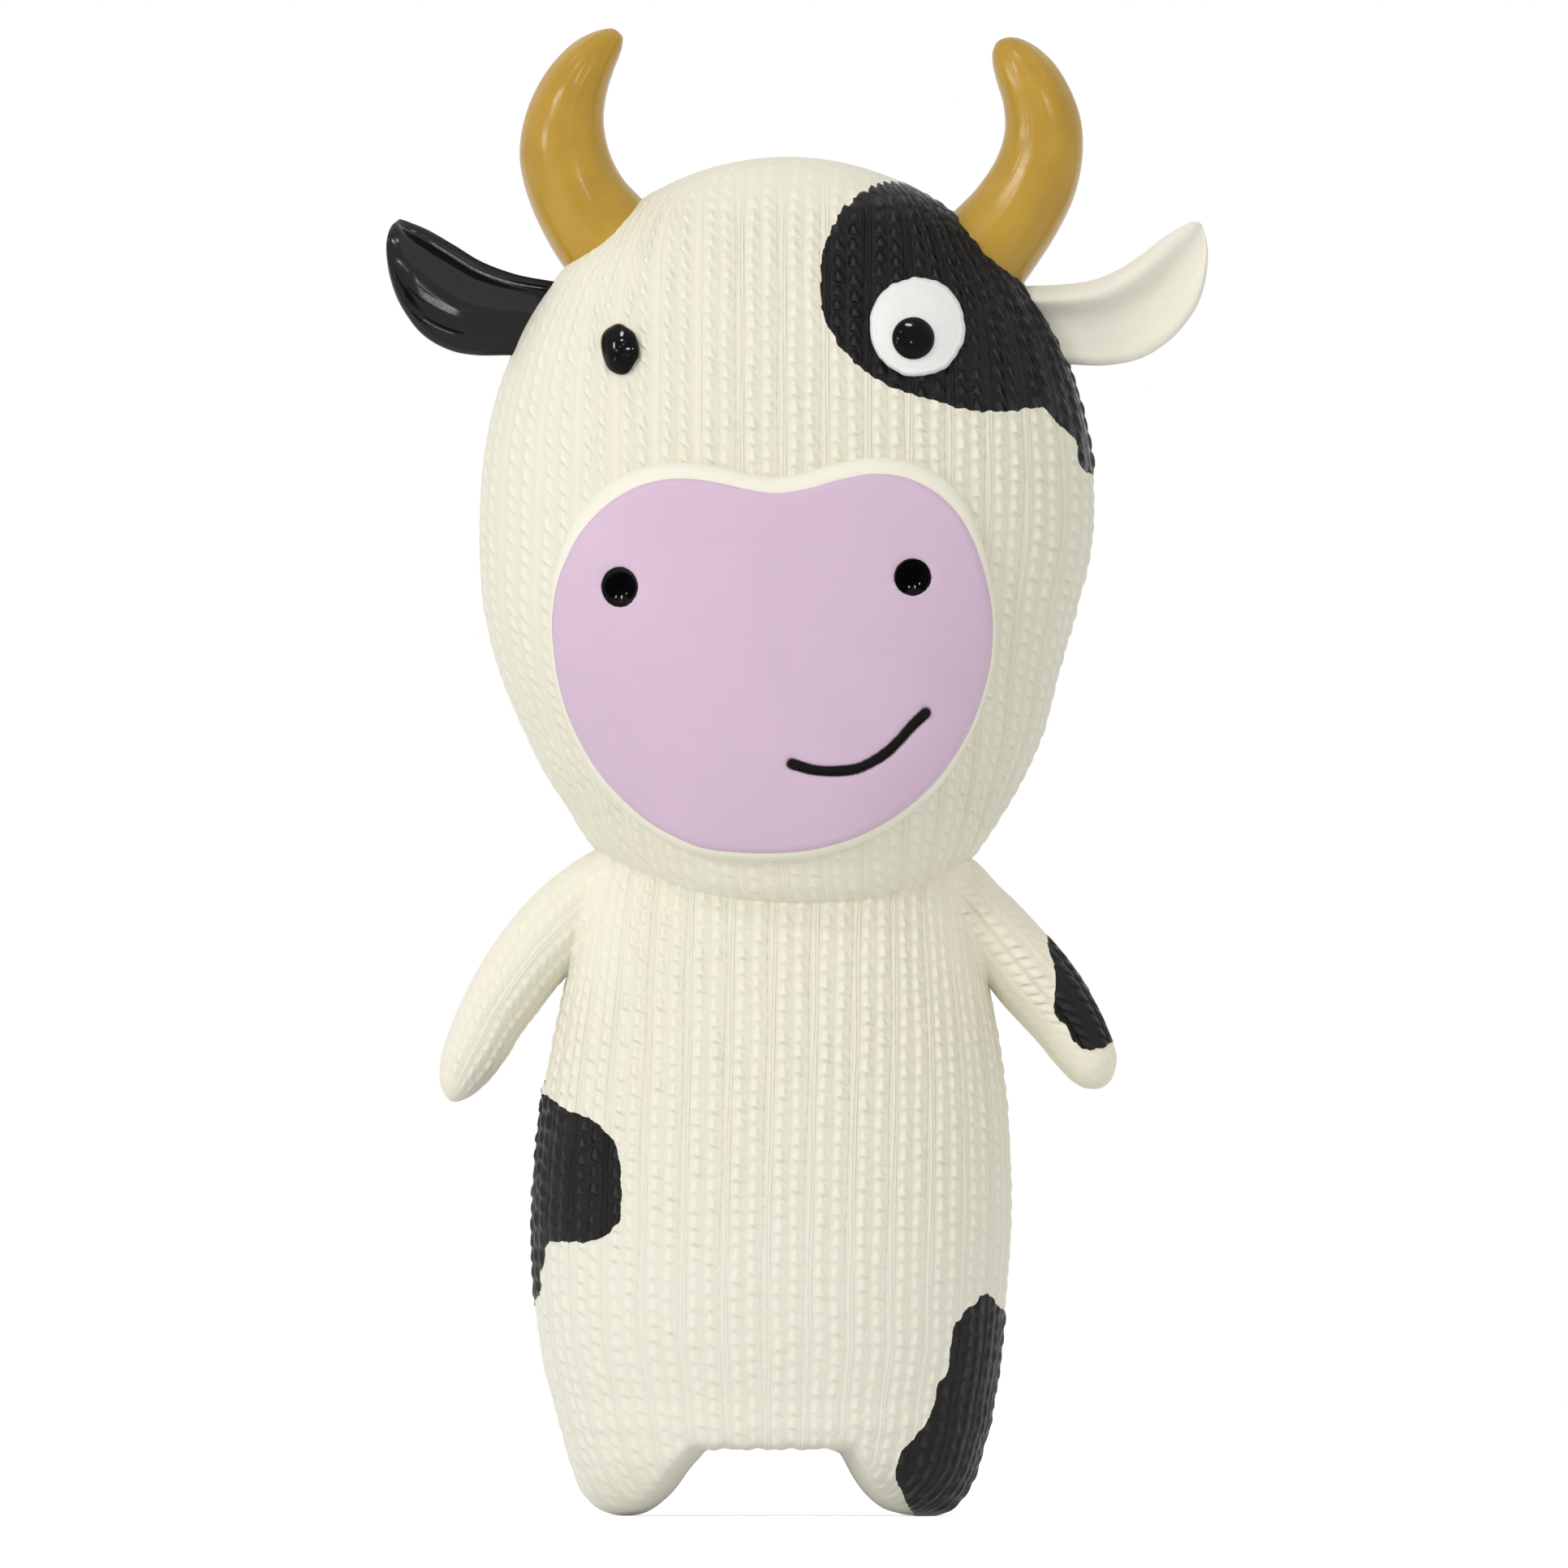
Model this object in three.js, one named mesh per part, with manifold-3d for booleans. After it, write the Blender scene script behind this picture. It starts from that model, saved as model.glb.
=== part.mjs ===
import * as THREE from 'three';
import { mergeVertices } from 'three/addons/utils/BufferGeometryUtils.js';
import Module from 'manifold-3d';

// A soft toy cow moulded in natural rubber: thin skins over fibre filling, with a squeaker inside.
// Millimetres, +Z up. The face looks along -Y and +X is the viewer's right.

// Walls and clearances
const skinWall = 2.0;
const clearance = 0.3;
const patchThickness = 0.5;
const patchWrap = 10.0;
const armPatchWrap = 5.0;
const overrun = 4.0;
const soleCut = 0.5;

// Head, an egg that is widest near the middle of its height
const headWidth = 95.0;
const headHeight = 118.5;
const headFrontDepth = 31.0;
const headBackDepth = 30.0;
const headSeatShare = 0.8337;

// Body, a pear that the head rests on
const bodyWidth = 74.2;
const bodyHeight = 101.6;
const bodyFrontDepth = 25.0;
const bodyBackDepth = 25.0;
const bodyBottom = 7.0;
const bodyOffset = -2.3;

// Legs, short and blunt, longer front to back than they are wide
const legLength = 34.5;
const legWidth = 22.2;
const legDepth = 38.0;
const hipSpreadShare = 0.5997;
const footSpreadShare = 0.5836;
const legOffset = -2.55;

// Arms, hanging outwards from the shoulders
const armWidth = 11.7;
const armDepth = 15.0;
const shoulderHeightShare = 0.9016;
const shoulderSpreadShare = 0.7102;
const shoulderOffset = -3.1;
const leftArmReach = 21.5;
const leftArmDrop = 34.4;
const rightArmReach = 24.0;
const rightArmDrop = 32.4;

// Horns
const hornSpreadShare = 0.6516;
const hornOffset = 2.3;
const hornBaseShare = 0.9021;
const hornRise = 31.0;
const hornBow = 5.9;
const hornWidth = 16.2;

// Ears
const earSpreadShare = 0.8389;
const earOffset = 1.6;
const earBaseShare = 0.7873;
const leftEarReach = 22.0;
const rightEarReach = 22.6;
const earLift = 15.1;
const earWidth = 15.6;
const earDepth = 7.5;
const earScoop = 3.6;

// Muzzle
const muzzleWidth = 67.9;
const muzzleHeight = 58.7;
const muzzleBottomShare = 0.0903;
const muzzleOffset = -2.2;
const muzzlePadHeight = 3.2;
const muzzleFaceThickness = 0.7;
const rimTopWidth = 2.2;
const rimBottomWidth = 1.0;
const rimEdgeWidth = 0.8;

// Nostrils and mouth
const nostrilRadius = 2.9;
const nostrilDepth = 2.2;
const nostrilWall = 0.6;
const nostrilSpreadShare = 0.6657;
const nostrilHeightShare = 0.7138;
const nostrilOffsetShare = -0.0324;
const mouthWidth = 20.9;
const mouthRise = 7.9;
const mouthSag = 2.1;
const mouthStroke = 1.4;
const mouthHeightShare = 0.2368;
const mouthOffsetShare = 0.3903;
const mouthBendShare = 0.1;

// Eyes
const beadEyeWidth = 5.9;
const beadEyeHeight = 7.9;
const beadEyeDome = 2.2;
const beadEyeShares = [-0.5474, 0.7494];
const discEyeWidth = 15.1;
const discEyeHeight = 16.0;
const discEyeDome = 2.6;
const discEyeShares = [0.4232, 0.7764];
const pupilWidth = 6.8;
const pupilDome = 1.6;
const pupilSink = 0.4;
const pupilShares = [0.3958, 0.7561];

// Filling hole and its plug, in the back
const plugRadius = 9.0;
const plugHeightShare = 0.4429;

// Squeaker, upright in the belly
const squeakerRadius = 12.5;
const squeakerBaseThickness = 3.0;
const squeakerFloor = 50.0;
const bellowsHeight = 12.0;
const bellowsWall = 0.6;
const bellowsFold = 1.6;
const bellowsFolds = 3;
const crownThickness = 2.0;
const reedRadius = 3.2;
const reedBore = 1.4;
const reedLength = 6.0;
const reedFlange = 1.6;

// Shares that shape the upright forms: level from the bottom, sideways shift, width, front, back
const headShares = [
  [0, 0, 0, 0, 0],
  [0.012, 0, 0.3, 0.45, 0.36],
  [0.045, -0.003, 0.53, 0.69, 0.56],
  [0.098, -0.006, 0.6275, 0.8, 0.68],
  [0.156, -0.002, 0.7226, 0.88, 0.77],
  [0.241, -0.009, 0.836, 0.95, 0.86],
  [0.325, -0.025, 0.91, 0.99, 0.92],
  [0.41, -0.021, 0.964, 1, 0.965],
  [0.495, -0.005, 0.996, 0.985, 0.99],
  [0.569, 0, 0.998, 0.955, 1],
  [0.654, 0, 0.968, 0.9, 0.985],
  [0.739, 0, 0.9005, 0.82, 0.925],
  [0.823, 0, 0.786, 0.715, 0.815],
  [0.887, 0, 0.656, 0.59, 0.685],
  [0.94, 0, 0.494, 0.445, 0.52],
  [0.977, 0, 0.313, 0.28, 0.33],
  [1, 0, 0, 0, 0],
];
const bodyShares = [
  [0, 0, 0, 0, 0],
  [0.006, 0, 0.42, 0.44, 0.44],
  [0.028, 0, 0.61, 0.64, 0.64],
  [0.078, 0.002, 0.79, 0.8, 0.8],
  [0.145, 0.003, 0.935, 0.91, 0.9],
  [0.2, -0.003, 0.967, 0.96, 0.95],
  [0.276, -0.007, 0.988, 0.99, 0.985],
  [0.38, 0, 1, 1, 1],
  [0.47, 0.003, 0.988, 0.985, 0.985],
  [0.571, 0.01, 0.966, 0.94, 0.955],
  [0.67, 0.017, 0.92, 0.87, 0.91],
  [0.75, 0.03, 0.88, 0.79, 0.86],
  [0.865, 0.045, 0.845, 0.66, 0.78],
  [0.945, 0.049, 0.785, 0.57, 0.7],
  [0.985, 0.049, 0.5, 0.36, 0.45],
  [1, 0.049, 0, 0, 0],
];

// Shares along a limb from its root to its tip: place, width, depth
const armShares = [
  [0, 0, 0],
  [0.04, 0.62, 0.55],
  [0.14, 0.92, 0.85],
  [0.3, 1, 1],
  [0.5, 1, 1],
  [0.68, 0.95, 0.95],
  [0.82, 0.86, 0.86],
  [0.92, 0.67, 0.68],
  [0.98, 0.38, 0.38],
  [1, 0, 0],
];
const legShares = [
  [0, 0, 0],
  [0.04, 0.5, 0.5],
  [0.16, 0.84, 0.86],
  [0.36, 0.98, 0.97],
  [0.56, 1, 1],
  [0.7, 0.94, 0.98],
  [0.8, 0.81, 0.93],
  [0.87, 0.65, 0.86],
  [0.93, 0.45, 0.76],
  [0.97, 0.29, 0.65],
  [0.985, 0.22, 0.58],
  [1, 0, 0],
];
const hornShares = [
  [0, 0, 0],
  [0.03, 0.75, 0.75],
  [0.1, 1, 1],
  [0.3, 0.93, 0.93],
  [0.47, 0.83, 0.83],
  [0.62, 0.73, 0.73],
  [0.77, 0.59, 0.59],
  [0.88, 0.45, 0.45],
  [0.96, 0.27, 0.27],
  [1, 0, 0],
];
const earShares = [
  [0, 0, 0],
  [0.03, 0.55, 0.5],
  [0.14, 0.84, 0.85],
  [0.3, 0.96, 1],
  [0.46, 1, 1],
  [0.62, 0.9, 0.9],
  [0.77, 0.66, 0.72],
  [0.9, 0.36, 0.42],
  [1, 0, 0],
];

// Shares of the axis of a limb: outwards, then down for the arm and up for the horn and ear
const armAxisShares = [
  [0, 0], [0.29, 0.215], [0.49, 0.36], [0.64, 0.5], [0.77, 0.64], [0.89, 0.78], [0.96, 0.9], [1, 1],
];
const hornAxisShares = [
  [-0.5, -0.14], [0, 0], [0.62, 0.165], [0.96, 0.37], [1, 0.54], [0.76, 0.71], [0.25, 0.87], [-0.4, 1],
];
const earAxisShares = [
  [-0.12, 0], [0.22, 0.06], [0.52, 0.16], [0.77, 0.38], [0.91, 0.67], [1, 1],
];

// Outline of the muzzle as shares of its half width and height, round from the top left lobe
const muzzleShares = [
  [-0.4, 0.987], [0.013, 0.949], [0.464, 1], [0.834, 0.902], [1, 0.609], [0.956, 0.419],
  [0.834, 0.261], [0.627, 0.126], [0.286, 0.023], [0.013, 0], [-0.331, 0.015], [-0.56, 0.079],
  [-0.808, 0.222], [-0.945, 0.38], [-1, 0.538], [-1, 0.656], [-0.945, 0.776], [-0.808, 0.893],
  [-0.63, 0.964],
];

// Outlines of the black patches, as shares of the half width and height of what carries them
const headPatchShares = [
  [0.238, 0.95], [0.33, 0.966], [0.465, 0.947], [0.608, 0.945], [0.951, 0.945], [1.19, 0.781],
  [1.19, 0.595], [0.978, 0.582], [0.954, 0.596], [0.933, 0.633], [0.875, 0.653], [0.832, 0.671],
  [0.74, 0.667], [0.613, 0.667], [0.452, 0.683], [0.33, 0.7], [0.19, 0.742], [0.14, 0.771],
  [0.108, 0.834], [0.132, 0.892],
];
const bodyPatchShares = [
  [-1.19, 0.583], [-0.946, 0.571], [-0.827, 0.545], [-0.695, 0.517], [-0.635, 0.475],
  [-0.631, 0.421], [-0.641, 0.379], [-0.733, 0.353], [-0.909, 0.351], [-0.946, 0.328],
  [-0.976, 0.264], [-1.19, 0.252],
];
const legPatchShares = [
  [0.902, 0.271], [0.949, 0.244], [1.19, 0.24], [1.19, -0.09], [0.665, -0.09], [0.557, -0.04],
  [0.516, -0.004], [0.54, 0.03], [0.593, 0.055], [0.651, 0.085], [0.689, 0.132], [0.742, 0.193],
  [0.8, 0.244],
];

// Outline of the arm patch, as shares of the arm's reach outwards and of its drop
const armPatchShares = [
  [0.66, 0.22], [1.3, 0.2], [1.4, 0.78], [1.06, 0.79], [0.92, 0.82], [0.82, 0.78], [0.76, 0.69],
  [0.73, 0.5], [0.7, 0.38], [0.67, 0.28],
];

// Roundness of the sections, and how finely the forms are faceted
const headRoundness = 2.15;
const bodyRoundness = 2.3;
const limbRoundness = 2.1;
const hornRoundness = 2;
const earRoundness = 1.7;
const mainSegments = 32;
const innerSegments = 16;
const limbSegments = 16;
const outlineSteps = 36;
const patchSteps = 28;
const roundSegments = 20;
const mouthSteps = 12;

const wasm = await Module();
wasm.setup();

const cream = new THREE.MeshStandardMaterial({ color: 0xefe9d8, roughness: 0.6, metalness: 0 });
const creamSmooth = new THREE.MeshStandardMaterial({ color: 0xefe9d8, roughness: 0.45, metalness: 0 });
const black = new THREE.MeshStandardMaterial({ color: 0x2b292c, roughness: 0.42, metalness: 0 });
const glossBlack = new THREE.MeshStandardMaterial({ color: 0x141315, roughness: 0.12, metalness: 0 });
const mustard = new THREE.MeshStandardMaterial({ color: 0xc7983e, roughness: 0.38, metalness: 0 });
const lilac = new THREE.MeshStandardMaterial({ color: 0xdac3d8, roughness: 0.5, metalness: 0 });
const white = new THREE.MeshStandardMaterial({ color: 0xf2f2f2, roughness: 0.3, metalness: 0 });
const fibre = new THREE.MeshStandardMaterial({ color: 0xf6f5f0, roughness: 0.95, metalness: 0 });
const clearPlastic = new THREE.MeshStandardMaterial({ color: 0xdfe6ea, roughness: 0.35, metalness: 0 });

const object = new THREE.Group();
const frontWay = new THREE.Vector3(0, -1, 0);

// Turns a closed geometry into a solid
function solidOf(geometry) {
  const bare = geometry.clone();
  bare.deleteAttribute('normal');
  bare.deleteAttribute('uv');
  const merged = mergeVertices(bare);
  const mesh = new wasm.Mesh({
    numProp: 3,
    vertProperties: new Float32Array(merged.attributes.position.array),
    triVerts: new Uint32Array(merged.index.array),
  });
  return new wasm.Manifold(mesh);
}

// Adds a solid to the toy as a named piece
function addPiece(name, solid, material) {
  const { vertProperties, triVerts } = solid.getMesh();
  const geometry = new THREE.BufferGeometry();
  geometry.setAttribute('position', new THREE.BufferAttribute(vertProperties, 3));
  geometry.setIndex(new THREE.BufferAttribute(triVerts, 1));
  geometry.computeVertexNormals();
  const mesh = new THREE.Mesh(geometry, material);
  mesh.name = name;
  object.add(mesh);
}

// Joins sections into one closed form; the first and last sections are single points
function loft(sections, segments, roundness) {
  const positions = [];
  const index = [];
  const power = 2 / roundness;
  const bulge = (value) => Math.sign(value) * Math.abs(value) ** power;
  const inner = sections.slice(1, -1);
  for (const section of inner) {
    for (let i = 0; i < segments; i += 1) {
      const angle = (2 * Math.PI * i) / segments;
      const sideways = bulge(Math.cos(angle)) * section.width;
      const deep = bulge(Math.sin(angle));
      const depth = deep * (deep < 0 ? section.front : section.back);
      const point = section.centre.clone().addScaledVector(section.across, sideways);
      positions.push(point.x, point.y + depth, point.z);
    }
  }
  const first = positions.length / 3;
  for (const end of [sections[0], sections[sections.length - 1]]) {
    positions.push(end.centre.x, end.centre.y, end.centre.z);
  }
  for (let i = 0; i < segments; i += 1) {
    const next = (i + 1) % segments;
    index.push(first, next, i);
    for (let row = 0; row + 1 < inner.length; row += 1) {
      const low = row * segments;
      const high = low + segments;
      index.push(low + i, low + next, high + next);
      index.push(low + i, high + next, high + i);
    }
    const last = (inner.length - 1) * segments;
    index.push(first + 1, last + i, last + next);
  }
  const geometry = new THREE.BufferGeometry();
  geometry.setAttribute('position', new THREE.Float32BufferAttribute(positions, 3));
  geometry.setIndex(index);
  const solid = solidOf(geometry);
  if (solid.volume() > 0) {
    return solid;
  }
  index.reverse();
  geometry.setIndex(index);
  return solidOf(geometry);
}

// A form with level sections, such as the head; grow moves its surface outwards
function uprightForm(form, grow, segments) {
  const across = new THREE.Vector3(1, 0, 0);
  const sections = form.shares.map(([level, shift, width, front, back]) => ({
    centre: new THREE.Vector3(
      form.x + shift * form.halfWidth,
      0,
      form.bottom - grow + level * (form.height + 2 * grow),
    ),
    across,
    width: width * (form.halfWidth + grow),
    front: front * (form.front + grow),
    back: back * (form.back + grow),
  }));
  return loft(sections, segments, form.roundness);
}

// A form along a curved axis in the plane of the picture, such as an arm
function limbForm(form, grow, segments) {
  const sections = form.shares.map(([place, width, depth]) => {
    const tangent = form.axis.getTangentAt(place);
    const centre = form.axis.getPointAt(place).addScaledVector(tangent, grow * (2 * place - 1));
    return {
      centre,
      across: new THREE.Vector3(tangent.z, 0, -tangent.x),
      width: width * (form.width / 2 + grow),
      front: depth * (form.depth / 2 + grow),
      back: depth * (form.depth / 2 + grow),
    };
  });
  return loft(sections, segments, form.roundness);
}

// A smooth curve through shares of a sideways and an upward reach
function axisCurve(start, sideways, upwards, shares) {
  const points = shares.map(([out, up]) => new THREE.Vector3(
    start.x + out * sideways,
    start.y,
    start.z + up * upwards,
  ));
  return new THREE.CatmullRomCurve3(points);
}

// A block with the given outline, from the middle of the toy forwards and a little way back
function outlineBlock(points, reachBack) {
  const frontReach = headFrontDepth + muzzlePadHeight + overrun;
  const geometry = new THREE.ExtrudeGeometry(new THREE.Shape(points), {
    depth: frontReach + reachBack,
    bevelEnabled: false,
  });
  geometry.rotateX(Math.PI / 2);
  geometry.translate(0, reachBack, 0);
  return solidOf(geometry);
}

// Points on a smooth closed curve through an outline
function smoothOutline(points, steps) {
  const corners = points.map((point) => new THREE.Vector3(point.x, point.y, 0));
  const curve = new THREE.CatmullRomCurve3(corners, true, 'centripetal');
  return curve.getPoints(steps).slice(0, -1).map((point) => new THREE.Vector2(point.x, point.y));
}

// The solid between two growths of the same form
function layer(form, low, high, make, segments) {
  return make(form, high, segments).subtract(make(form, low, segments));
}

// A solid turned about the upright axis from a closed half section
function turned(profile, x, z) {
  const points = profile.map(([radius, height]) => new THREE.Vector2(radius, height));
  const geometry = new THREE.LatheGeometry(points, roundSegments);
  geometry.rotateX(Math.PI / 2);
  geometry.translate(x, 0, z);
  return solidOf(geometry);
}

// A place on the face, from its shares of the head's half width and height
function onFace([across, up]) {
  return { x: head.x + across * head.halfWidth, z: head.bottom + up * head.height };
}

// A round bar through the toy along the viewing direction
function roundBar(radius, x, z, from, to) {
  const geometry = new THREE.CylinderGeometry(radius, radius, to - from, roundSegments);
  geometry.translate(x, (from + to) / 2, z);
  return solidOf(geometry);
}

// A domed bead that sits square on the face, its middle the given lift above the head skin
function bead(size, shares, lift, grow) {
  const { x, z } = onFace(shares);
  const normal = faceNormal(x, z);
  const geometry = new THREE.SphereGeometry(1, roundSegments, roundSegments / 2);
  geometry.rotateX(Math.PI / 2);
  geometry.scale(size.width / 2 + grow, size.dome + grow, size.height / 2 + grow);
  geometry.applyQuaternion(new THREE.Quaternion().setFromUnitVectors(frontWay, normal));
  geometry.translate(x + normal.x * lift, faceSurface(x, z) + normal.y * lift, z + normal.z * lift);
  return solidOf(geometry);
}

const headBottom = bodyBottom + headSeatShare * bodyHeight;
const head = {
  x: 0,
  halfWidth: headWidth / 2,
  height: headHeight,
  front: headFrontDepth,
  back: headBackDepth,
  bottom: headBottom,
  shares: headShares,
  roundness: headRoundness,
};
const body = {
  x: bodyOffset,
  halfWidth: bodyWidth / 2,
  height: bodyHeight,
  front: bodyFrontDepth,
  back: bodyBackDepth,
  bottom: bodyBottom,
  shares: bodyShares,
  roundness: bodyRoundness,
};

// How far forward the head's surface lies at a place on the face
function faceSurface(x, z) {
  const level = (z - head.bottom) / head.height;
  const upper = head.shares.findIndex((row) => row[0] > level);
  const [above, below] = [head.shares[upper], head.shares[upper - 1]];
  const mix = (level - below[0]) / (above[0] - below[0]);
  const blend = (column) => below[column] + mix * (above[column] - below[column]);
  const side = Math.abs(x - head.x - blend(1) * head.halfWidth) / (blend(2) * head.halfWidth);
  return -blend(3) * head.front * (1 - side ** head.roundness) ** (1 / head.roundness);
}

// Which way the head's surface faces there
function faceNormal(x, z) {
  const slopeX = (faceSurface(x + skinWall, z) - faceSurface(x - skinWall, z)) / (2 * skinWall);
  const slopeZ = (faceSurface(x, z + skinWall) - faceSurface(x, z - skinWall)) / (2 * skinWall);
  return new THREE.Vector3(slopeX, -1, slopeZ).normalize();
}

const headOuter = uprightForm(head, 0, mainSegments);
const headGap = uprightForm(head, clearance, mainSegments);
const headInner = uprightForm(head, -skinWall, innerSegments);
const bodyOuter = uprightForm(body, 0, mainSegments);
const bodyGap = uprightForm(body, clearance, mainSegments);
const bodyInner = uprightForm(body, -skinWall, innerSegments);

// Where the limbs, horns and ears grow from
const shoulderHeight = bodyBottom + shoulderHeightShare * bodyHeight;
const shoulderSpread = shoulderSpreadShare * bodyWidth;
const hipSpread = hipSpreadShare * bodyWidth;
const footSpread = footSpreadShare * bodyWidth;
const hornBase = headBottom + hornBaseShare * headHeight;
const hornSpread = hornSpreadShare * headWidth;
const earBase = headBottom + earBaseShare * headHeight;
const earSpread = earSpreadShare * headWidth;

// Limbs, ears and horns, one set on each side
const sides = [
  { name: 'left', sign: -1, armReach: leftArmReach, armDrop: leftArmDrop, earReach: leftEarReach },
  { name: 'right', sign: 1, armReach: rightArmReach, armDrop: rightArmDrop, earReach: rightEarReach },
];
for (const side of sides) {
  const placeOf = (offset, spread, height) => new THREE.Vector3(
    offset + (side.sign * spread) / 2,
    0,
    height,
  );
  side.arm = {
    axis: axisCurve(
      placeOf(shoulderOffset, shoulderSpread, shoulderHeight),
      side.sign * side.armReach,
      -side.armDrop,
      armAxisShares,
    ),
    width: armWidth,
    depth: armDepth,
    shares: armShares,
    roundness: limbRoundness,
  };
  side.leg = {
    axis: new THREE.LineCurve3(
      placeOf(legOffset, hipSpread, legLength - soleCut),
      placeOf(legOffset, footSpread, -soleCut),
    ),
    width: legWidth,
    depth: legDepth,
    shares: legShares,
    roundness: limbRoundness,
  };
  side.horn = {
    axis: axisCurve(
      placeOf(hornOffset, hornSpread, hornBase),
      side.sign * hornBow,
      hornRise,
      hornAxisShares,
    ),
    width: hornWidth,
    depth: hornWidth,
    shares: hornShares,
    roundness: hornRoundness,
  };
  side.ear = {
    axis: axisCurve(
      placeOf(earOffset, earSpread, earBase),
      side.sign * side.earReach,
      earLift,
      earAxisShares,
    ),
    width: earWidth,
    depth: earDepth,
    shares: earShares,
    roundness: earRoundness,
  };
}
const [left, right] = sides;

const floorCut = solidOf(new THREE.BoxGeometry(2 * bodyWidth, 2 * bodyWidth, bodyWidth)
  .translate(0, 0, -bodyWidth / 2));
const legOuter = (side, grow) => limbForm(side.leg, grow, limbSegments);
const armOuter = (side, grow) => limbForm(side.arm, grow, limbSegments);
const hornOuter = (side, grow) => limbForm(side.horn, grow, limbSegments);
const earOuter = (side, grow) => limbForm(side.ear, grow, limbSegments);

// Filling hole in the back, and the pocket that holds the squeaker
const backReach = bodyBackDepth + overrun;
const plugHeight = bodyBottom + plugHeightShare * bodyHeight;
const squeakerTop = squeakerFloor + squeakerBaseThickness + bellowsHeight + crownThickness;
const fillingHole = roundBar(plugRadius, bodyOffset, plugHeight, 0, backReach);
const pocket = turned(
  [
    [0, squeakerFloor - reedFlange - 2 * clearance],
    [squeakerRadius + clearance, squeakerFloor - reedFlange - 2 * clearance],
    [squeakerRadius + clearance, squeakerTop + clearance],
    [0, squeakerTop + clearance],
  ],
  bodyOffset,
  0,
).add(roundBar(plugRadius - skinWall, bodyOffset, plugHeight, 0, backReach));

// Body and head skins, open at the neck so that the filling runs through
let bodySkin = bodyOuter.subtract(bodyInner).subtract(headGap).subtract(fillingHole);
let bodyFilling = uprightForm(body, -skinWall - clearance, innerSegments)
  .subtract(headInner)
  .subtract(pocket);
const headSkin = headOuter.subtract(headInner).subtract(bodyInner);
const headFilling = uprightForm(head, -skinWall - clearance, innerSegments);

for (const side of sides) {
  const armCore = limbForm(side.arm, -skinWall, limbSegments);
  const legCore = limbForm(side.leg, -skinWall, limbSegments);
  bodySkin = bodySkin.subtract(armCore).subtract(legCore);
  side.armSkin = armOuter(side, 0).subtract(armCore).subtract(bodyGap).subtract(headGap);
  side.legSkin = legOuter(side, 0).subtract(legCore).subtract(bodyGap).subtract(floorCut);
  side.armFilling = limbForm(side.arm, -skinWall - clearance, limbSegments).subtract(bodyInner);
  side.legFilling = limbForm(side.leg, -skinWall - clearance, limbSegments).subtract(bodyInner);
}

addPiece('head_skin', headSkin, cream);
addPiece('body_skin', bodySkin, cream);
for (const side of sides) {
  addPiece(`${side.name}_arm`, side.armSkin, cream);
  addPiece(`${side.name}_leg`, side.legSkin, cream);
}
addPiece('head_filling', headFilling, fibre);
addPiece('body_filling', bodyFilling, fibre);
for (const side of sides) {
  addPiece(`${side.name}_arm_filling`, side.armFilling, fibre);
  addPiece(`${side.name}_leg_filling`, side.legFilling, fibre);
}

// Ears, scooped out in front
for (const side of sides) {
  const scoop = limbForm(side.ear, -skinWall, limbSegments).translate([0, -earScoop, 0]);
  const ear = earOuter(side, 0).subtract(scoop).subtract(headGap);
  addPiece(`${side.name}_ear`, ear, side === left ? black : creamSmooth);
}

// Horns
for (const side of sides) {
  addPiece(`${side.name}_horn`, hornOuter(side, 0).subtract(headGap), mustard);
}

// Places on the muzzle, from which its outline, nostrils and mouth follow
const muzzleBottom = headBottom + muzzleBottomShare * headHeight;
const nostrilHeight = muzzleBottom + nostrilHeightShare * muzzleHeight;
const mouthHeight = muzzleBottom + mouthHeightShare * muzzleHeight;
const mouthMiddle = muzzleOffset + (mouthOffsetShare * muzzleWidth) / 2;

// Outline of the muzzle, with the given margins round the lilac face
function muzzleOutline(sideMargin, topMargin, bottomMargin) {
  const points = muzzleShares.map(([across, up]) => new THREE.Vector2(
    muzzleOffset + across * (muzzleWidth / 2 + sideMargin),
    muzzleBottom - bottomMargin + up * (muzzleHeight + topMargin + bottomMargin),
  ));
  return smoothOutline(points, outlineSteps);
}

// Muzzle pad, lilac face, nostrils and mouth
const padTop = muzzlePadHeight;
const faceTop = padTop + clearance + muzzleFaceThickness;
const nostrils = sides.map((side) => {
  const share = nostrilOffsetShare + side.sign * nostrilSpreadShare;
  const x = muzzleOffset + (share * muzzleWidth) / 2;
  return { name: side.name, x, top: faceSurface(x, nostrilHeight) - faceTop };
});
const mouthCurve = new THREE.QuadraticBezierCurve(
  new THREE.Vector2(mouthMiddle - mouthWidth / 2, mouthHeight),
  new THREE.Vector2(mouthMiddle + mouthWidth * mouthBendShare, mouthHeight - 2 * mouthSag),
  new THREE.Vector2(mouthMiddle + mouthWidth / 2, mouthHeight + mouthRise),
);

// A band of the given half width along the mouth
function mouthBlock(halfWidth) {
  const upper = [];
  const lower = [];
  for (let i = 0; i <= mouthSteps; i += 1) {
    const point = mouthCurve.getPoint(i / mouthSteps);
    const tangent = mouthCurve.getTangent(i / mouthSteps);
    const side = new THREE.Vector2(-tangent.y, tangent.x).multiplyScalar(halfWidth);
    upper.push(point.clone().add(side));
    lower.unshift(point.clone().sub(side));
  }
  const end = mouthCurve.getPoint(1).addScaledVector(mouthCurve.getTangent(1), halfWidth);
  const start = mouthCurve.getPoint(0).addScaledVector(mouthCurve.getTangent(0), -halfWidth);
  return outlineBlock([...upper, end, ...lower, start], 0);
}

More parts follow.
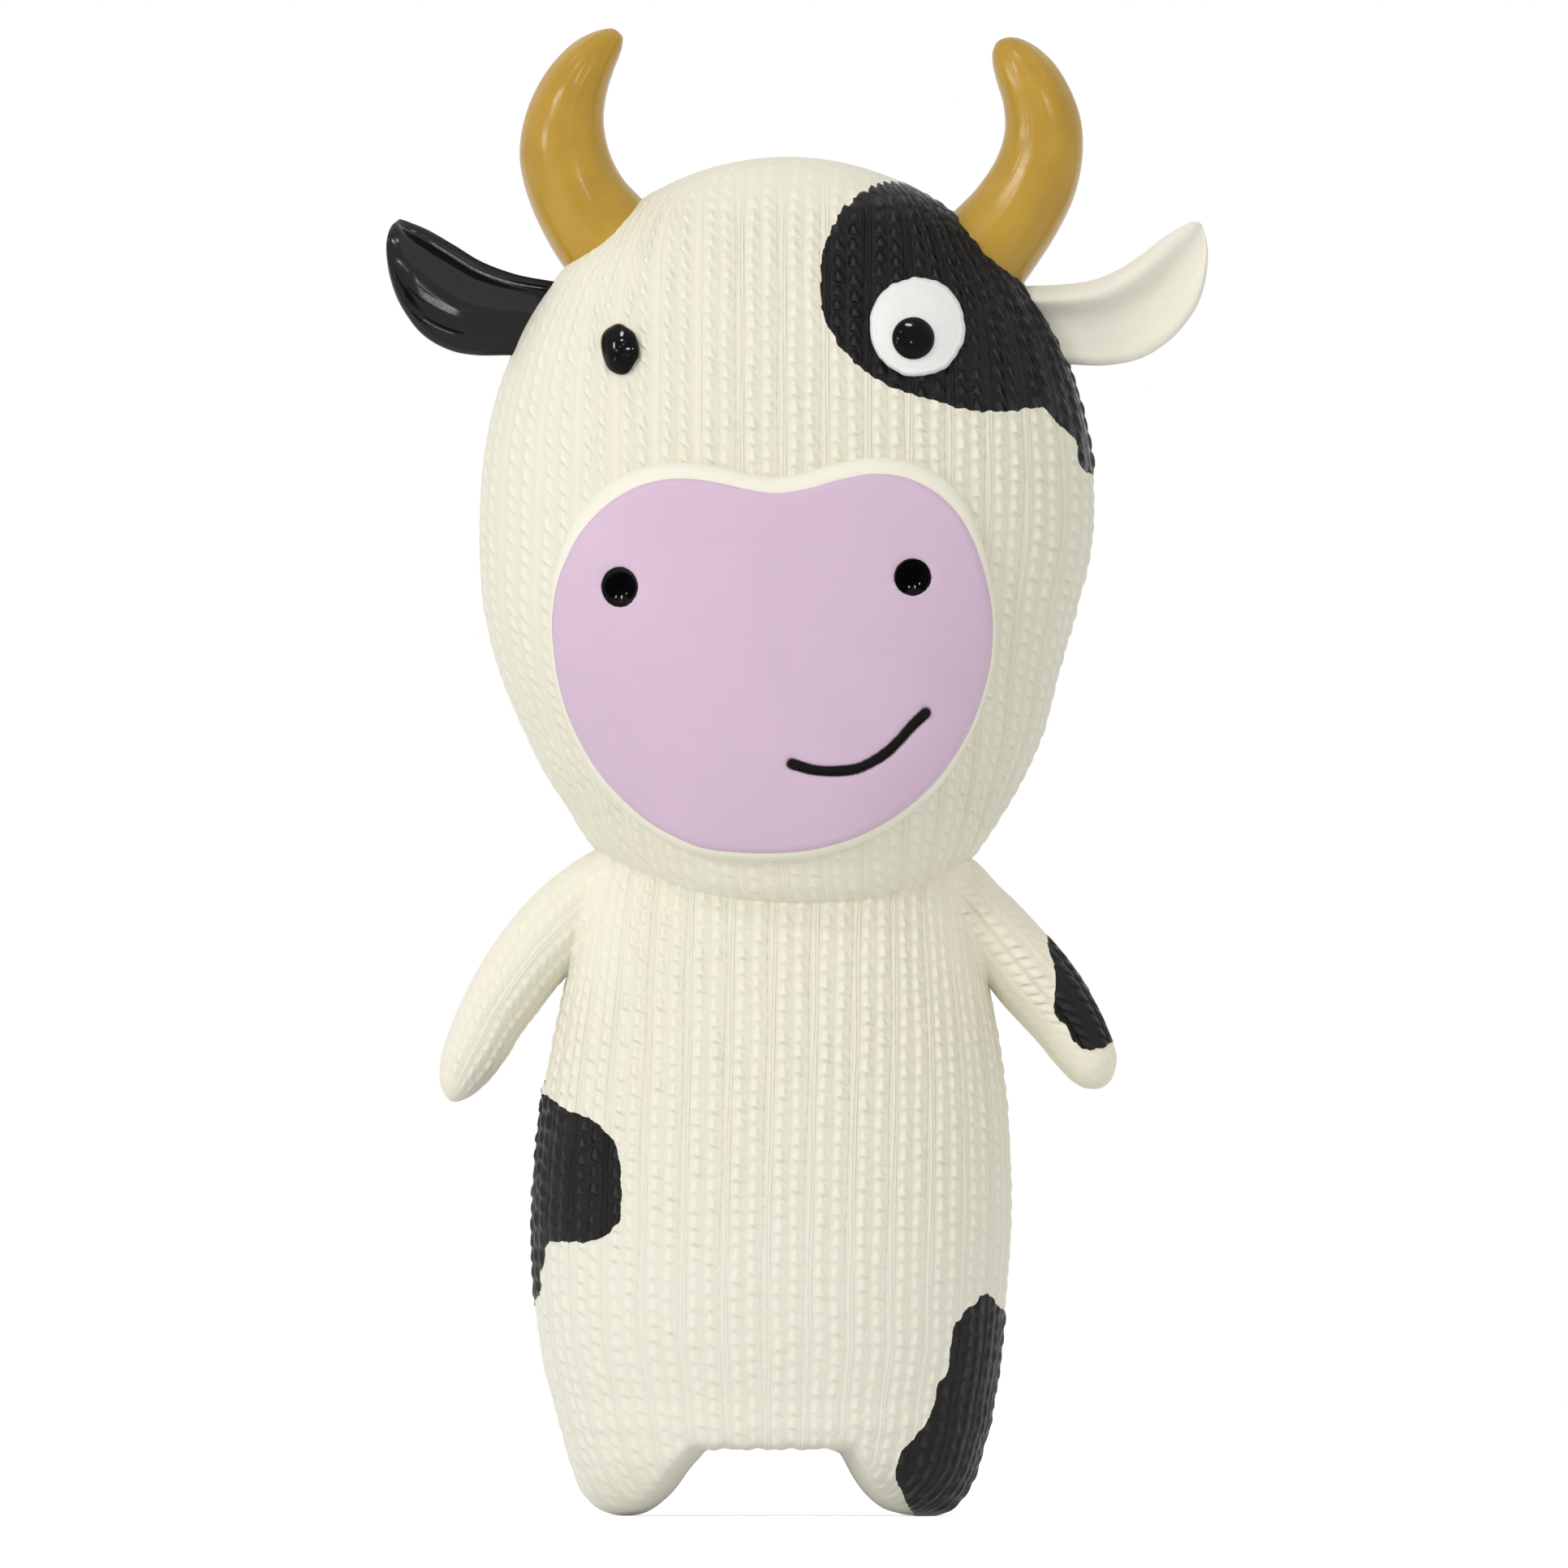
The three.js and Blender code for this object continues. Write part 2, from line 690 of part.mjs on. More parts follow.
let pad = layer(head, clearance, padTop, uprightForm, mainSegments)
  .intersect(outlineBlock(muzzleOutline(rimEdgeWidth, rimTopWidth, rimBottomWidth), 0));
let face = layer(head, padTop + clearance, faceTop, uprightForm, mainSegments)
  .intersect(outlineBlock(muzzleOutline(0, 0, 0), 0))
  .subtract(mouthBlock(mouthStroke / 2 + clearance));
for (const nostril of nostrils) {
  const cup = [
    [0, 0],
    [nostrilRadius - nostrilWall, 0],
    [nostrilRadius, nostrilDepth],
    [nostrilRadius - nostrilWall, nostrilDepth],
    [nostrilRadius - 2 * nostrilWall, nostrilWall],
    [0, nostrilWall],
  ];
  const seat = [
    [0, -clearance],
    [nostrilRadius + clearance, -clearance],
    [nostrilRadius + clearance, nostrilDepth + overrun],
    [0, nostrilDepth + overrun],
  ];
  const place = (profile) => {
    const geometry = new THREE.LatheGeometry(
      profile.map(([radius, height]) => new THREE.Vector2(radius, height)),
      roundSegments,
    );
    geometry.rotateX(Math.PI);
    geometry.translate(nostril.x, nostril.top + nostrilDepth, nostrilHeight);
    return solidOf(geometry);
  };
  const hole = place(seat);
  pad = pad.subtract(hole);
  face = face.subtract(hole);
  nostril.cup = place(cup);
}
addPiece('muzzle_pad', pad, creamSmooth);
addPiece('muzzle_face', face, lilac);
for (const nostril of nostrils) {
  addPiece(`${nostril.name}_nostril`, nostril.cup, glossBlack);
}
const mouth = layer(head, padTop + clearance, faceTop, uprightForm, mainSegments)
  .intersect(mouthBlock(mouthStroke / 2));
addPiece('mouth_line', mouth, glossBlack);

// Eyes
const patchLow = clearance;
const patchHigh = clearance + patchThickness;
const headPatchTop = uprightForm(head, patchHigh + clearance, mainSegments);
const beadEye = { width: beadEyeWidth, height: beadEyeHeight, dome: beadEyeDome };
const discEye = { width: discEyeWidth, height: discEyeHeight, dome: discEyeDome };
const pupil = { width: pupilWidth, height: pupilWidth, dome: pupilDome };
const pupilLift = patchHigh + discEyeDome - pupilSink;
addPiece('left_eye', bead(beadEye, beadEyeShares, 0, 0).subtract(headGap), glossBlack);
const eyeWhite = (grow) => bead(discEye, discEyeShares, patchHigh, grow);
addPiece('right_eye_white', eyeWhite(0).subtract(headPatchTop), white);
const pupilSolid = bead(pupil, pupilShares, pupilLift, 0).subtract(eyeWhite(clearance));
addPiece('right_eye_pupil', pupilSolid, glossBlack);

// Black patches, thin layers over the skins that wrap a little way round the sides
const patchBlock = (form, shares) => outlineBlock(
  smoothOutline(
    shares.map(([across, up]) => new THREE.Vector2(
      form.x + across * form.halfWidth,
      form.bottom + up * form.height,
    )),
    patchSteps,
  ),
  patchWrap,
);
const headPatch = layer(head, patchLow, patchHigh, uprightForm, mainSegments)
  .intersect(patchBlock(head, headPatchShares))
  .subtract(earOuter(right, clearance))
  .subtract(hornOuter(right, clearance));
const bodyPatch = layer(body, patchLow, patchHigh, uprightForm, mainSegments)
  .intersect(patchBlock(body, bodyPatchShares));
const legPatch = uprightForm(body, patchHigh, mainSegments)
  .add(legOuter(right, patchHigh))
  .subtract(uprightForm(body, patchLow, mainSegments))
  .subtract(legOuter(right, patchLow))
  .intersect(patchBlock(body, legPatchShares))
  .subtract(floorCut.translate([0, 0, skinWall]));
const shoulder = right.arm.axis.getPointAt(0);
const armPatchOutline = armPatchShares.map(([out, down]) => new THREE.Vector2(
  shoulder.x + out * right.armReach,
  shoulder.z - down * right.armDrop,
));
const armPatch = layer(right.arm, patchLow, patchHigh, limbForm, limbSegments)
  .intersect(outlineBlock(smoothOutline(armPatchOutline, patchSteps), armPatchWrap))
  .subtract(uprightForm(body, patchHigh, mainSegments));
addPiece('head_patch', headPatch, black);
addPiece('body_patch', bodyPatch, black);
addPiece('leg_patch', legPatch, black);
addPiece('arm_patch', armPatch, black);

// Plug in the filling hole
const plug = roundBar(plugRadius - clearance, bodyOffset, plugHeight, 0, backReach)
  .intersect(bodyOuter)
  .subtract(bodyInner);
addPiece('back_plug', plug, creamSmooth);

// Squeaker: a base with a reed, a folded bellows and a crown that presses down
const bellowsFloor = squeakerFloor + squeakerBaseThickness;
const bellowsRadius = squeakerRadius - bellowsFold / 2 - bellowsWall;
const bellowsLow = bellowsFloor + clearance;
const bellowsSpan = bellowsHeight - 2 * clearance;
const foldSteps = 2 * bellowsFolds;
const foldPoint = (step, offset) => {
  const swing = (bellowsFold / 2) * Math.cos((2 * Math.PI * bellowsFolds * step) / foldSteps);
  return [bellowsRadius - swing + offset, bellowsLow + (bellowsSpan * step) / foldSteps];
};
const bellowsProfile = [];
for (let step = 0; step <= foldSteps; step += 1) {
  bellowsProfile.push(foldPoint(step, bellowsWall / 2));
}
for (let step = foldSteps; step >= 0; step -= 1) {
  bellowsProfile.push(foldPoint(step, -bellowsWall / 2));
}
bellowsProfile.push(bellowsProfile[0]);
const base = [
  [reedRadius + clearance, squeakerFloor],
  [squeakerRadius, squeakerFloor],
  [squeakerRadius, bellowsFloor],
  [reedRadius + clearance, bellowsFloor],
  [reedRadius + clearance, squeakerFloor],
];
const reedTop = squeakerFloor - clearance - reedFlange + reedLength;
const reed = [
  [reedBore, squeakerFloor - clearance - reedFlange],
  [reedRadius + reedFlange, squeakerFloor - clearance - reedFlange],
  [reedRadius + reedFlange, squeakerFloor - clearance],
  [reedRadius, squeakerFloor - clearance],
  [reedRadius, reedTop],
  [reedBore, reedTop],
  [reedBore, squeakerFloor - clearance - reedFlange],
];
const crown = [
  [0, bellowsFloor + bellowsHeight],
  [squeakerRadius - clearance, bellowsFloor + bellowsHeight],
  [squeakerRadius - clearance, squeakerTop],
  [0, squeakerTop],
];
addPiece('squeaker_base', turned(base, bodyOffset, 0), clearPlastic);
addPiece('squeaker_reed', turned(reed, bodyOffset, 0), white);
addPiece('squeaker_bellows', turned(bellowsProfile, bodyOffset, 0), clearPlastic);
addPiece('squeaker_crown', turned(crown, bodyOffset, 0), clearPlastic);

// The origin is the middle of the toy's outline on the surface that it stands on
const outline = new THREE.Box3().setFromObject(object);
const middle = outline.getCenter(new THREE.Vector3());
object.position.set(-middle.x, -middle.y, -outline.min.z);

export default object;
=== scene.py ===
import math

import bpy
import numpy as np
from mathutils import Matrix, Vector
from mathutils.bvhtree import BVHTree


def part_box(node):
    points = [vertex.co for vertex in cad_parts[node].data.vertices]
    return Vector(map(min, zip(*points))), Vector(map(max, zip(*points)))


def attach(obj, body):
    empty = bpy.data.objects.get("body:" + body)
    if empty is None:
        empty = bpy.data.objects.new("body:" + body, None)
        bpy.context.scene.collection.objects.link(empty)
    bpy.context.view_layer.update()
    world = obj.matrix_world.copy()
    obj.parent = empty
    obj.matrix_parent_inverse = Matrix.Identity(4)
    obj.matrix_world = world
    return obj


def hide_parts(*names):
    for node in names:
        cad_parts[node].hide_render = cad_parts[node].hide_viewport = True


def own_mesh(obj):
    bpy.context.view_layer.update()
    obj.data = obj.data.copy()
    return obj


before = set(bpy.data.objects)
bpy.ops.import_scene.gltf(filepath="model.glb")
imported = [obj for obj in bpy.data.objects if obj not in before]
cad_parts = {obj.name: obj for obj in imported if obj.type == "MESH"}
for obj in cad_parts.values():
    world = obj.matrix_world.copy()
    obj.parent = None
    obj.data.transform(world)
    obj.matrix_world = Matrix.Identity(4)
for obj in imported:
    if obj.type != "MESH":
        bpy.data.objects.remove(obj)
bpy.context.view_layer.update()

bl_info = {
    "name": "Soft toy cow",
    "version": (1, 0, 0),
    "blender": (4, 5, 0),
    "location": "3D View > Sidebar > Toy cow",
    "description": "Builds a moulded rubber toy cow with a knitted surface",
    "category": "Add Mesh",
}

# Millimetres in the modelling frame: x to the right, y away from the viewer, z up
MM = 0.001
# The picture: its width in pixels, millimetres to a pixel, and the pixels where x and z are 0
PICTURE = 1932
PIXEL = 0.1255
MIDDLE_PIXEL = 970
FLOOR_PIXEL = 1868
# The squeaker's axis, and the plug behind it: height of its middle and radius
SQUEAKER_X = -2.3
PLUG_Z = 52.0
PLUG_RADIUS = 8.7
# The body that the pieces ride on
ROOT = "toy"

crown_low, crown_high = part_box("squeaker_crown")
OFFSET = np.array([
    (crown_low.x + crown_high.x) / 2 / MM - SQUEAKER_X,
    (crown_low.y + crown_high.y) / 2 / MM,
    0.0,
])


def at(points):
    """Places in the picture, as pixels, turned into x and z in millimetres."""
    p = np.array(points, float)
    return np.stack([(p[..., 0] - MIDDLE_PIXEL) * PIXEL, (FLOOR_PIXEL - p[..., 1]) * PIXEL], -1)


# Shape of the head: height, left edge, right edge, reach forwards, reach backwards
HEAD_ROWS = [
    (91.7, 2.0, 2.0, 0, 0),
    (93.1, -12.5, 16.5, 14.0, 10.8),
    (97.0, -23.0, 24.0, 21.4, 16.8),
    (103.3, -29.9, 29.8, 24.8, 20.4),
    (110.2, -34.4, 34.3, 27.3, 23.1),
    (115.2, -37.7, 37.1, 28.5, 24.5),
    (120.3, -40.2, 39.3, 29.4, 25.8),
    (130.3, -44.4, 42.0, 30.7, 27.6),
    (140.3, -46.9, 44.8, 31.0, 28.9),
    (150.3, -47.6, 47.1, 30.5, 29.7),
    (159.1, -47.4, 47.4, 29.6, 30.0),
    (169.2, -46.0, 46.0, 27.9, 29.5),
    (179.3, -42.8, 42.8, 25.4, 27.7),
    (189.2, -37.4, 37.4, 22.2, 24.4),
    (196.8, -31.2, 31.2, 18.3, 20.5),
    (203.1, -23.4, 23.4, 13.8, 15.6),
    (207.5, -14.8, 14.8, 8.7, 9.9),
    (210.2, 0, 0, 0, 0),
]
# Shape of the body, in the same columns
BODY_ROWS = [
    (10.4, -1.9, -1.9, 0, 0),
    (10.42, -12.0, 8.2, 6.0, 6.0),
    (10.45, -22.0, 18.2, 12.5, 12.5),
    (10.5, -28.5, 24.6, 17.0, 17.0),
    (10.6, -32.2, 28.4, 19.8, 19.8),
    (11.4, -34.2, 30.3, 21.2, 21.0),
    (13.5, -35.1, 31.2, 21.9, 21.5),
    (17.5, -36.1, 31.8, 22.2, 21.8),
    (21.7, -37.3, 32.6, 23.0, 22.5),
    (27.3, -38.3, 33.2, 24.0, 23.8),
    (34.9, -39.1, 33.9, 24.8, 24.7),
    (44.9, -39.4, 34.6, 25.0, 25.0),
    (54.9, -38.9, 34.5, 24.8, 24.6),
    (65.0, -37.8, 33.9, 24.1, 23.9),
    (75.0, -35.9, 32.5, 22.9, 22.7),
    (83.2, -34.2, 31.0, 21.4, 21.5),
    (94.9, -31.9, 29.2, 18.6, 19.5),
    (103.0, -29.5, 27.4, 15.5, 17.5),
    (107.0, -19.0, 17.0, 9.0, 11.0),
    (108.6, -0.6, -0.6, 0, 0),
]
# Each leg below the body: height, outer edge, inner edge, share of the body's depth there
LEFT_LEG_ROWS = [
    (0.0, -24.9, -24.9, 0.0),
    (0.25, -27.2, -22.6, 0.40),
    (1.2, -29.4, -20.6, 0.60),
    (4.0, -32.0, -17.4, 0.80),
    (7.3, -33.3, -15.0, 0.92),
    (10.2, -34.2, -12.4, 0.97),
    (13.5, -34.9, -9.5, 0.98),
    (18.0, -35.2, -7.0, 0.98),
    (26.0, -33.0, -8.0, 0.90),
    (30.0, -22.0, -22.0, 0.0),
]
RIGHT_LEG_ROWS = [
    (0.0, 20.9, 20.9, 0.0),
    (0.25, 23.5, 17.8, 0.40),
    (1.4, 25.8, 14.7, 0.60),
    (4.4, 28.2, 11.4, 0.80),
    (7.3, 29.4, 9.6, 0.92),
    (10.2, 30.2, 8.0, 0.97),
    (13.5, 30.9, 5.5, 0.98),
    (18.0, 31.2, 3.0, 0.98),
    (26.0, 30.0, 4.0, 0.90),
    (30.0, 18.0, 18.0, 0.0),
]
HEAD_ROUNDNESS = 2.15
BODY_ROUNDNESS = 2.3

# Limbs, horns and ears as pairs of edge points in the picture, from the root to the tip
LEFT_ARM_EDGES = [
    ((765, 1030), (815, 1105)), ((704, 1064), (758, 1146)), ((655, 1105), (716, 1186)),
    ((617, 1150), (686, 1217)), ((591, 1190), (662, 1248)), ((570, 1230), (641, 1275)),
    ((553, 1270), (624, 1304)), ((542, 1312), (597, 1337)), ((543, 1338), (576, 1353)),
]
LEFT_ARM_TIP = (556, 1357)
RIGHT_ARM_EDGES = [
    ((1150, 1030), (1100, 1105)), ((1209, 1067), (1175, 1155)), ((1230, 1090), (1194, 1184)),
    ((1251, 1110), (1211, 1206)),
    ((1288, 1150), (1235, 1237)), ((1321, 1190), (1258, 1262)), ((1346, 1230), (1281, 1287)),
    ((1365, 1270), (1303, 1314)), ((1376, 1308), (1325, 1335)), ((1369, 1331), (1338, 1341)),
]
RIGHT_ARM_TIP = (1355, 1341)
LEFT_HORN_EDGES = [
    ((735, 370), (850, 300)), ((689, 321), (789, 243)), ((662, 272), (765, 216)),
    ((646, 228), (750, 184)), ((640, 190), (744, 150)), ((645, 150), (747, 118)),
    ((659, 112), (755, 90)), ((684, 74), (763, 69)), ((713, 48), (767, 54)), ((738, 37), (766, 43)),
]
LEFT_HORN_TIP = (755, 35)
RIGHT_HORN_EDGES = [
    ((1235, 385), (1125, 305)), ((1271, 336), (1184, 252)), ((1303, 286), (1208, 226)),
    ((1325, 238), (1229, 192)), ((1334, 192), (1238, 160)), ((1332, 148), (1236, 128)),
    ((1318, 108), (1228, 100)), ((1294, 72), (1223, 77)), ((1268, 52), (1224, 60)),
    ((1252, 46), (1230, 50)),
]
RIGHT_HORN_TIP = (1240, 46)
LEFT_EAR_EDGES = [
    ((735, 352), (690, 440)), ((673, 345), (628, 438)), ((633, 337), (587, 438)),
    ((593, 322), (555, 432)), ((560, 302), (525, 416)), ((527, 283), (504, 393)),
    ((508, 275), (488, 365)), ((497, 271), (478, 330)), ((490, 271), (476, 298)),
]
LEFT_EAR_TIP = (481, 280)
RIGHT_EAR_EDGES = [
    ((1225, 352), (1255, 445)), ((1275, 352), (1318, 449)), ((1313, 350), (1364, 450)),
    ((1350, 344), (1407, 441)), ((1380, 331), (1438, 422)), ((1410, 311), (1462, 397)),
    ((1437, 290), (1479, 368)), ((1458, 278), (1487, 335)), ((1470, 273), (1488, 304)),
]
RIGHT_EAR_TIP = (1481, 277)

# Slope, to the right and up, of an ear's flat strips, which show the right lamp in front
EAR_SLOPE = (-0.204, -0.199)
# Ears: rolls along an ear as place from the upper edge at 1 to the lower at -1, half width and
# height at the root and at the tip, then the depth and the middle of the bowl, how far the tip
# comes forward, and flat strips as place at the start and at the end, half width, start and end
EAR_FORMS = {
    "left": ([(0.78, 0.13, 0.7, 1.1), (-0.68, 0.12, 0.22, 0.15), (-0.92, 0.15, 0.6, 0.3)],
             3.4, 0.03, 2.5,
             [(0.78, 0.78, 0.026, 0.12, 0.82), (-0.17, -0.34, 0.075, 0.44, 0.80),
              (-0.59, -0.77, 0.018, 0.42, 0.76)]),
    "right": ([(0.62, 0.32, 2.6, 0.7), (-0.80, 0.17, 0.5, 0.5)], 2.0, -0.05, 0.0, []),
}

# Outline of the lilac face of the muzzle, in the picture
MUZZLE_OUTLINE = [
    (782, 601), (812, 592), (845, 590), (885, 595), (920, 603), (956, 608), (992, 603), (1035, 591),
    (1078, 584), (1120, 590), (1152, 606), (1178, 630), (1198, 663), (1214, 708), (1223, 767),
    (1221, 812), (1211, 856), (1197, 895), (1178, 930), (1153, 964), (1122, 993), (1078, 1022),
    (1030, 1041), (994, 1049), (956, 1052), (908, 1051), (863, 1045), (831, 1032), (801, 1015),
    (765, 984), (734, 948), (713, 912), (697, 874), (687, 836), (682, 800), (680, 772), (682, 745),
    (687, 715), (697, 689), (713, 659), (734, 634), (757, 615),
]
MOUTH_POINTS = [(975, 941), (1004, 949), (1034, 950), (1056, 947), (1074, 939), (1091, 928),
                (1107, 913), (1124, 894), (1141, 878)]

# Outlines of the black patches, in the picture, running past the edge where they wrap round
HEAD_PATCH = [
    (1060, 240), (1095, 225), (1125, 229), (1146, 243), (1178, 251), (1197, 254), (1226, 283),
    (1256, 326), (1264, 345), (1288, 374), (1310, 390), (1400, 392), (1410, 470), (1400, 560),
    (1346, 586), (1331, 575), (1323, 540), (1301, 521), (1285, 503), (1250, 507), (1202, 507),
    (1141, 492), (1095, 476), (1042, 436), (1023, 409), (1013, 378), (1011, 350), (1016, 310),
    (1032, 268),
]
BODY_PATCH = [
    (600, 1330), (672, 1350), (707, 1371), (724, 1376), (746, 1394), (759, 1409), (764, 1428),
    (765, 1472), (762, 1506), (754, 1515), (735, 1527), (713, 1529), (683, 1529), (675, 1528),
    (672, 1548), (667, 1565), (663, 1600), (640, 1612), (590, 1560), (575, 1420),
]
LEG_PATCH = [
    (1217, 1590), (1221, 1598), (1238, 1616), (1266, 1650), (1290, 1700), (1285, 1790),
    (1250, 1870),
    (1200, 1905), (1150, 1910), (1131, 1872), (1116, 1848), (1109, 1831), (1104, 1818),
    (1107, 1796), (1111, 1787), (1127, 1770), (1144, 1746), (1153, 1720), (1155, 1707),
    (1166, 1690), (1171, 1658), (1174, 1638), (1186, 1618), (1203, 1603), (1213, 1594),
]
ARM_PATCH = [
    (1290, 1150), (1296, 1182), (1300, 1201), (1304, 1256), (1311, 1262), (1323, 1282),
    (1335, 1292), (1353, 1293), (1366, 1286), (1400, 1285), (1410, 1230), (1360, 1150),
    (1310, 1120),
]


class ToySizes(bpy.types.PropertyGroup):
    """Sizes of the moulded surface."""

    relief: bpy.props.FloatProperty(
        name="Knit relief", description="Height of the moulded knit",
        default=0.43 * MM, min=0, max=2 * MM, precision=5, unit="LENGTH")
    stitch: bpy.props.FloatProperty(
        name="Stitch height", description="Height of one stitch along its cord",
        default=2.6 * MM, min=MM, max=6 * MM, precision=5, unit="LENGTH")
    pair: bpy.props.FloatProperty(
        name="Pair width", description="Width of a pair of cords with the gutter beside it",
        default=6.5 * MM, min=3 * MM, max=12 * MM, precision=5, unit="LENGTH")
    skin_step: bpy.props.FloatProperty(
        name="Skin step", description="Distance between neighbouring points of a knitted skin",
        default=0.42 * MM, min=0.3 * MM, max=2 * MM, precision=5, unit="LENGTH")
    patch_rise: bpy.props.FloatProperty(
        name="Patch rise", description="How far a black patch stands above the skin",
        default=0.16 * MM, min=0, max=MM, precision=5, unit="LENGTH")


def colour(name, text, value):
    """A colour that a user can change."""
    return bpy.props.FloatVectorProperty(
        name=name, description=text, default=value, size=3, min=0, max=1, subtype="COLOR")


class ToyColours(bpy.types.PropertyGroup):
    """Colours of the rubber and the enamel."""

    cream: colour("Cream", "Rubber of head, body and limbs", (0.80, 0.78, 0.66))
    black: colour("Black", "Rubber of the patches and of one ear", (0.011, 0.010, 0.011))
    mustard: colour("Mustard", "Rubber of the horns", (0.44, 0.26, 0.024))
    lilac: colour("Lilac", "Rubber of the muzzle's face", (0.612, 0.453, 0.582))
    white: colour("White", "Enamel of the round eye", (0.785, 0.785, 0.77))
    jet: colour("Jet", "Gloss enamel of eyes, nostrils and mouth", (0.003, 0.003, 0.0035))
    fibre: colour("Fibre", "Loose filling", (0.85, 0.84, 0.80))
    plastic: colour("Plastic", "Squeaker", (0.72, 0.76, 0.79))


def sizes():
    """The toy's sizes, as set in the scene."""
    return bpy.context.scene.toy_sizes


def colours():
    """The toy's colours, as set in the scene."""
    return bpy.context.scene.toy_colours


# Curves and forms

def hermite(rows, steps):
    """Points on a smooth curve through rows of values, spaced by their distance from each other."""
    rows = np.asarray(rows, float)
    gaps = np.maximum(np.linalg.norm(np.diff(rows, axis=0), axis=1), 1e-6)
    slopes = np.diff(rows, axis=0) / gaps[:, None]
    tangents = np.empty_like(rows)
    weight = gaps[:-1, None] / (gaps[:-1] + gaps[1:])[:, None]
    tangents[1:-1] = slopes[:-1] * (1 - weight) + slopes[1:] * weight
    tangents[0], tangents[-1] = slopes[0], slopes[-1]
    found = []
    for i in range(len(gaps)):
        t = np.linspace(0, 1, steps, endpoint=False)[:, None]
        a, b = rows[i], rows[i + 1]
        m, n = tangents[i] * gaps[i], tangents[i + 1] * gaps[i]
        found.append((2 * t**3 - 3 * t**2 + 1) * a + (t**3 - 2 * t**2 + t) * m
                     + (3 * t**2 - 2 * t**3) * b + (t**3 - t**2) * n)
    found.append(rows[-1:])
    return np.concatenate(found)


def run_along(points):
    """Distance from the first point of a line to each of its points."""
    return np.concatenate([[0], np.cumsum(np.linalg.norm(np.diff(points, axis=0), axis=1))])


def evenly(rows, step, by):
    """The rows again, at even distances as measured on the columns named by."""
    length = run_along(rows[:, by])
    count = max(3, int(round(length[-1] / step)))
    wanted = np.linspace(0, length[-1], count + 1)
    return np.stack([np.interp(wanted, length, rows[:, i]) for i in range(rows.shape[1])], 1)


def closed_curve(points, count):
    """A smooth closed curve through points in x and z, as count evenly spaced points."""
    points = np.asarray(points, float)
    padded = np.concatenate([points[-3:], points, points[:4]])
    curve = evenly(hermite(padded, 24)[3 * 24:(3 + len(points)) * 24 + 1], 1e-3, [0, 1])
    return curve[np.linspace(0, len(curve) - 1, count, endpoint=False).astype(int)]


def upright_profile(rows, step):
    """Level sections of a form at even steps: height, middle, half width, front, back."""
    rows = np.array(rows, float)
    table = np.stack([rows[:, 0], (rows[:, 1] + rows[:, 2]) / 2, (rows[:, 2] - rows[:, 1]) / 2,
                      rows[:, 3], rows[:, 4]], 1)
    turned = np.array([1, 1, -1, -1, -1])
    low, high = table[1] * turned, table[-2] * turned
    smooth = hermite(np.concatenate([[low], table, [high]]), 40)[40:-40]
    smooth[:, 2:] = np.maximum(smooth[:, 2:], 0)
    return evenly(smooth, step, [0, 2, 3])


def level_at(profile, z):
    """Middle, half width, front and back of a form at any heights."""
    return tuple(np.interp(z, profile[:, 0], profile[:, i]) for i in (1, 2, 3, 4))


def bulge(side, roundness):
    """Share of a section's depth that is left at a share of its half width."""
    return (1 - side**roundness) ** (1 / roundness)


def section(profile, angles, roundness):
    """Points round each level section, as an array of rows by columns."""
    bend = 2 / roundness
    across = np.sign(np.cos(angles)) * np.abs(np.cos(angles)) ** bend
    deep = np.sign(np.sin(angles)) * np.abs(np.sin(angles)) ** bend
    z, middle, width, front, back = profile.T[:, :, None]
    depth = np.where(deep < 0, front, back) * deep
    return np.stack([middle + width * across, depth, z + 0 * across], -1)


def run_round(grid):
    """Distance round each section of a form, from the middle of its front."""
    gaps = np.linalg.norm(np.diff(grid, axis=1), axis=2)
    run = np.concatenate([np.zeros((len(grid), 1)), np.cumsum(gaps, 1)], 1)
    return run - run[:, [grid.shape[1] // 2]]


def even_angles(width, front, back, roundness, step):
    """Angles evenly spaced along a section, from the middle of the back all the way round."""
    fine = np.linspace(math.pi / 2, 5 * math.pi / 2, 8001)
    row = np.array([[0, 0, width, front, back]], float)
    ring = section(row, fine, roundness)[0]
    length = run_along(ring)
    count = 2 * int(round(length[-1] / step / 2))
    return np.interp(np.linspace(0, length[-1], count + 1), length, fine), length[-1]


def step_up(low, high, value):
    """0 below low, 1 above high and a smooth rise between them."""
    t = np.clip((value - low) / (high - low), 0, 1)
    return t * t * (3 - 2 * t)


def ring_faces(rows, columns):
    """Quads and end triangles of rings joined in order; the two end points come after the rings."""
    i = np.arange(columns)
    j = (i + 1) % columns
    r = np.arange(rows - 1)[:, None] * columns
    quads = np.stack([r + i, r + j, r + columns + j, r + columns + i], -1).reshape(-1, 4)
    first, last = rows * columns, rows * columns + 1
    top = (rows - 1) * columns
    start = np.stack([np.full(columns, first), j, i], 1)
    end = np.stack([np.full(columns, last), top + i, top + j], 1)
    return quads, np.concatenate([start, end])


def closed_form(grid):
    """Points and faces of a form from its sections, the first and last of them single points."""
    points = np.concatenate([grid[1:-1, :-1].reshape(-1, 3), grid[[0, -1], 0]])
    return (points, *ring_faces(len(grid) - 2, grid.shape[1] - 1))


def tube_faces(rows, columns):
    """Quads of rings joined in order, and the last of them to the first."""
    i, k = np.arange(columns), np.arange(rows)[:, None]
    near, far, j = k * columns, (k + 1) % rows * columns, (i + 1) % columns
    return np.stack([near + i, near + j, far + j, far + i], -1).reshape(-1, 4)


def with_ends(rows):
    """Values on the rings of a closed form, with those of its two end points after them."""
    return np.concatenate([rows.ravel(), [rows[0, 0], rows[-1, 0]]])


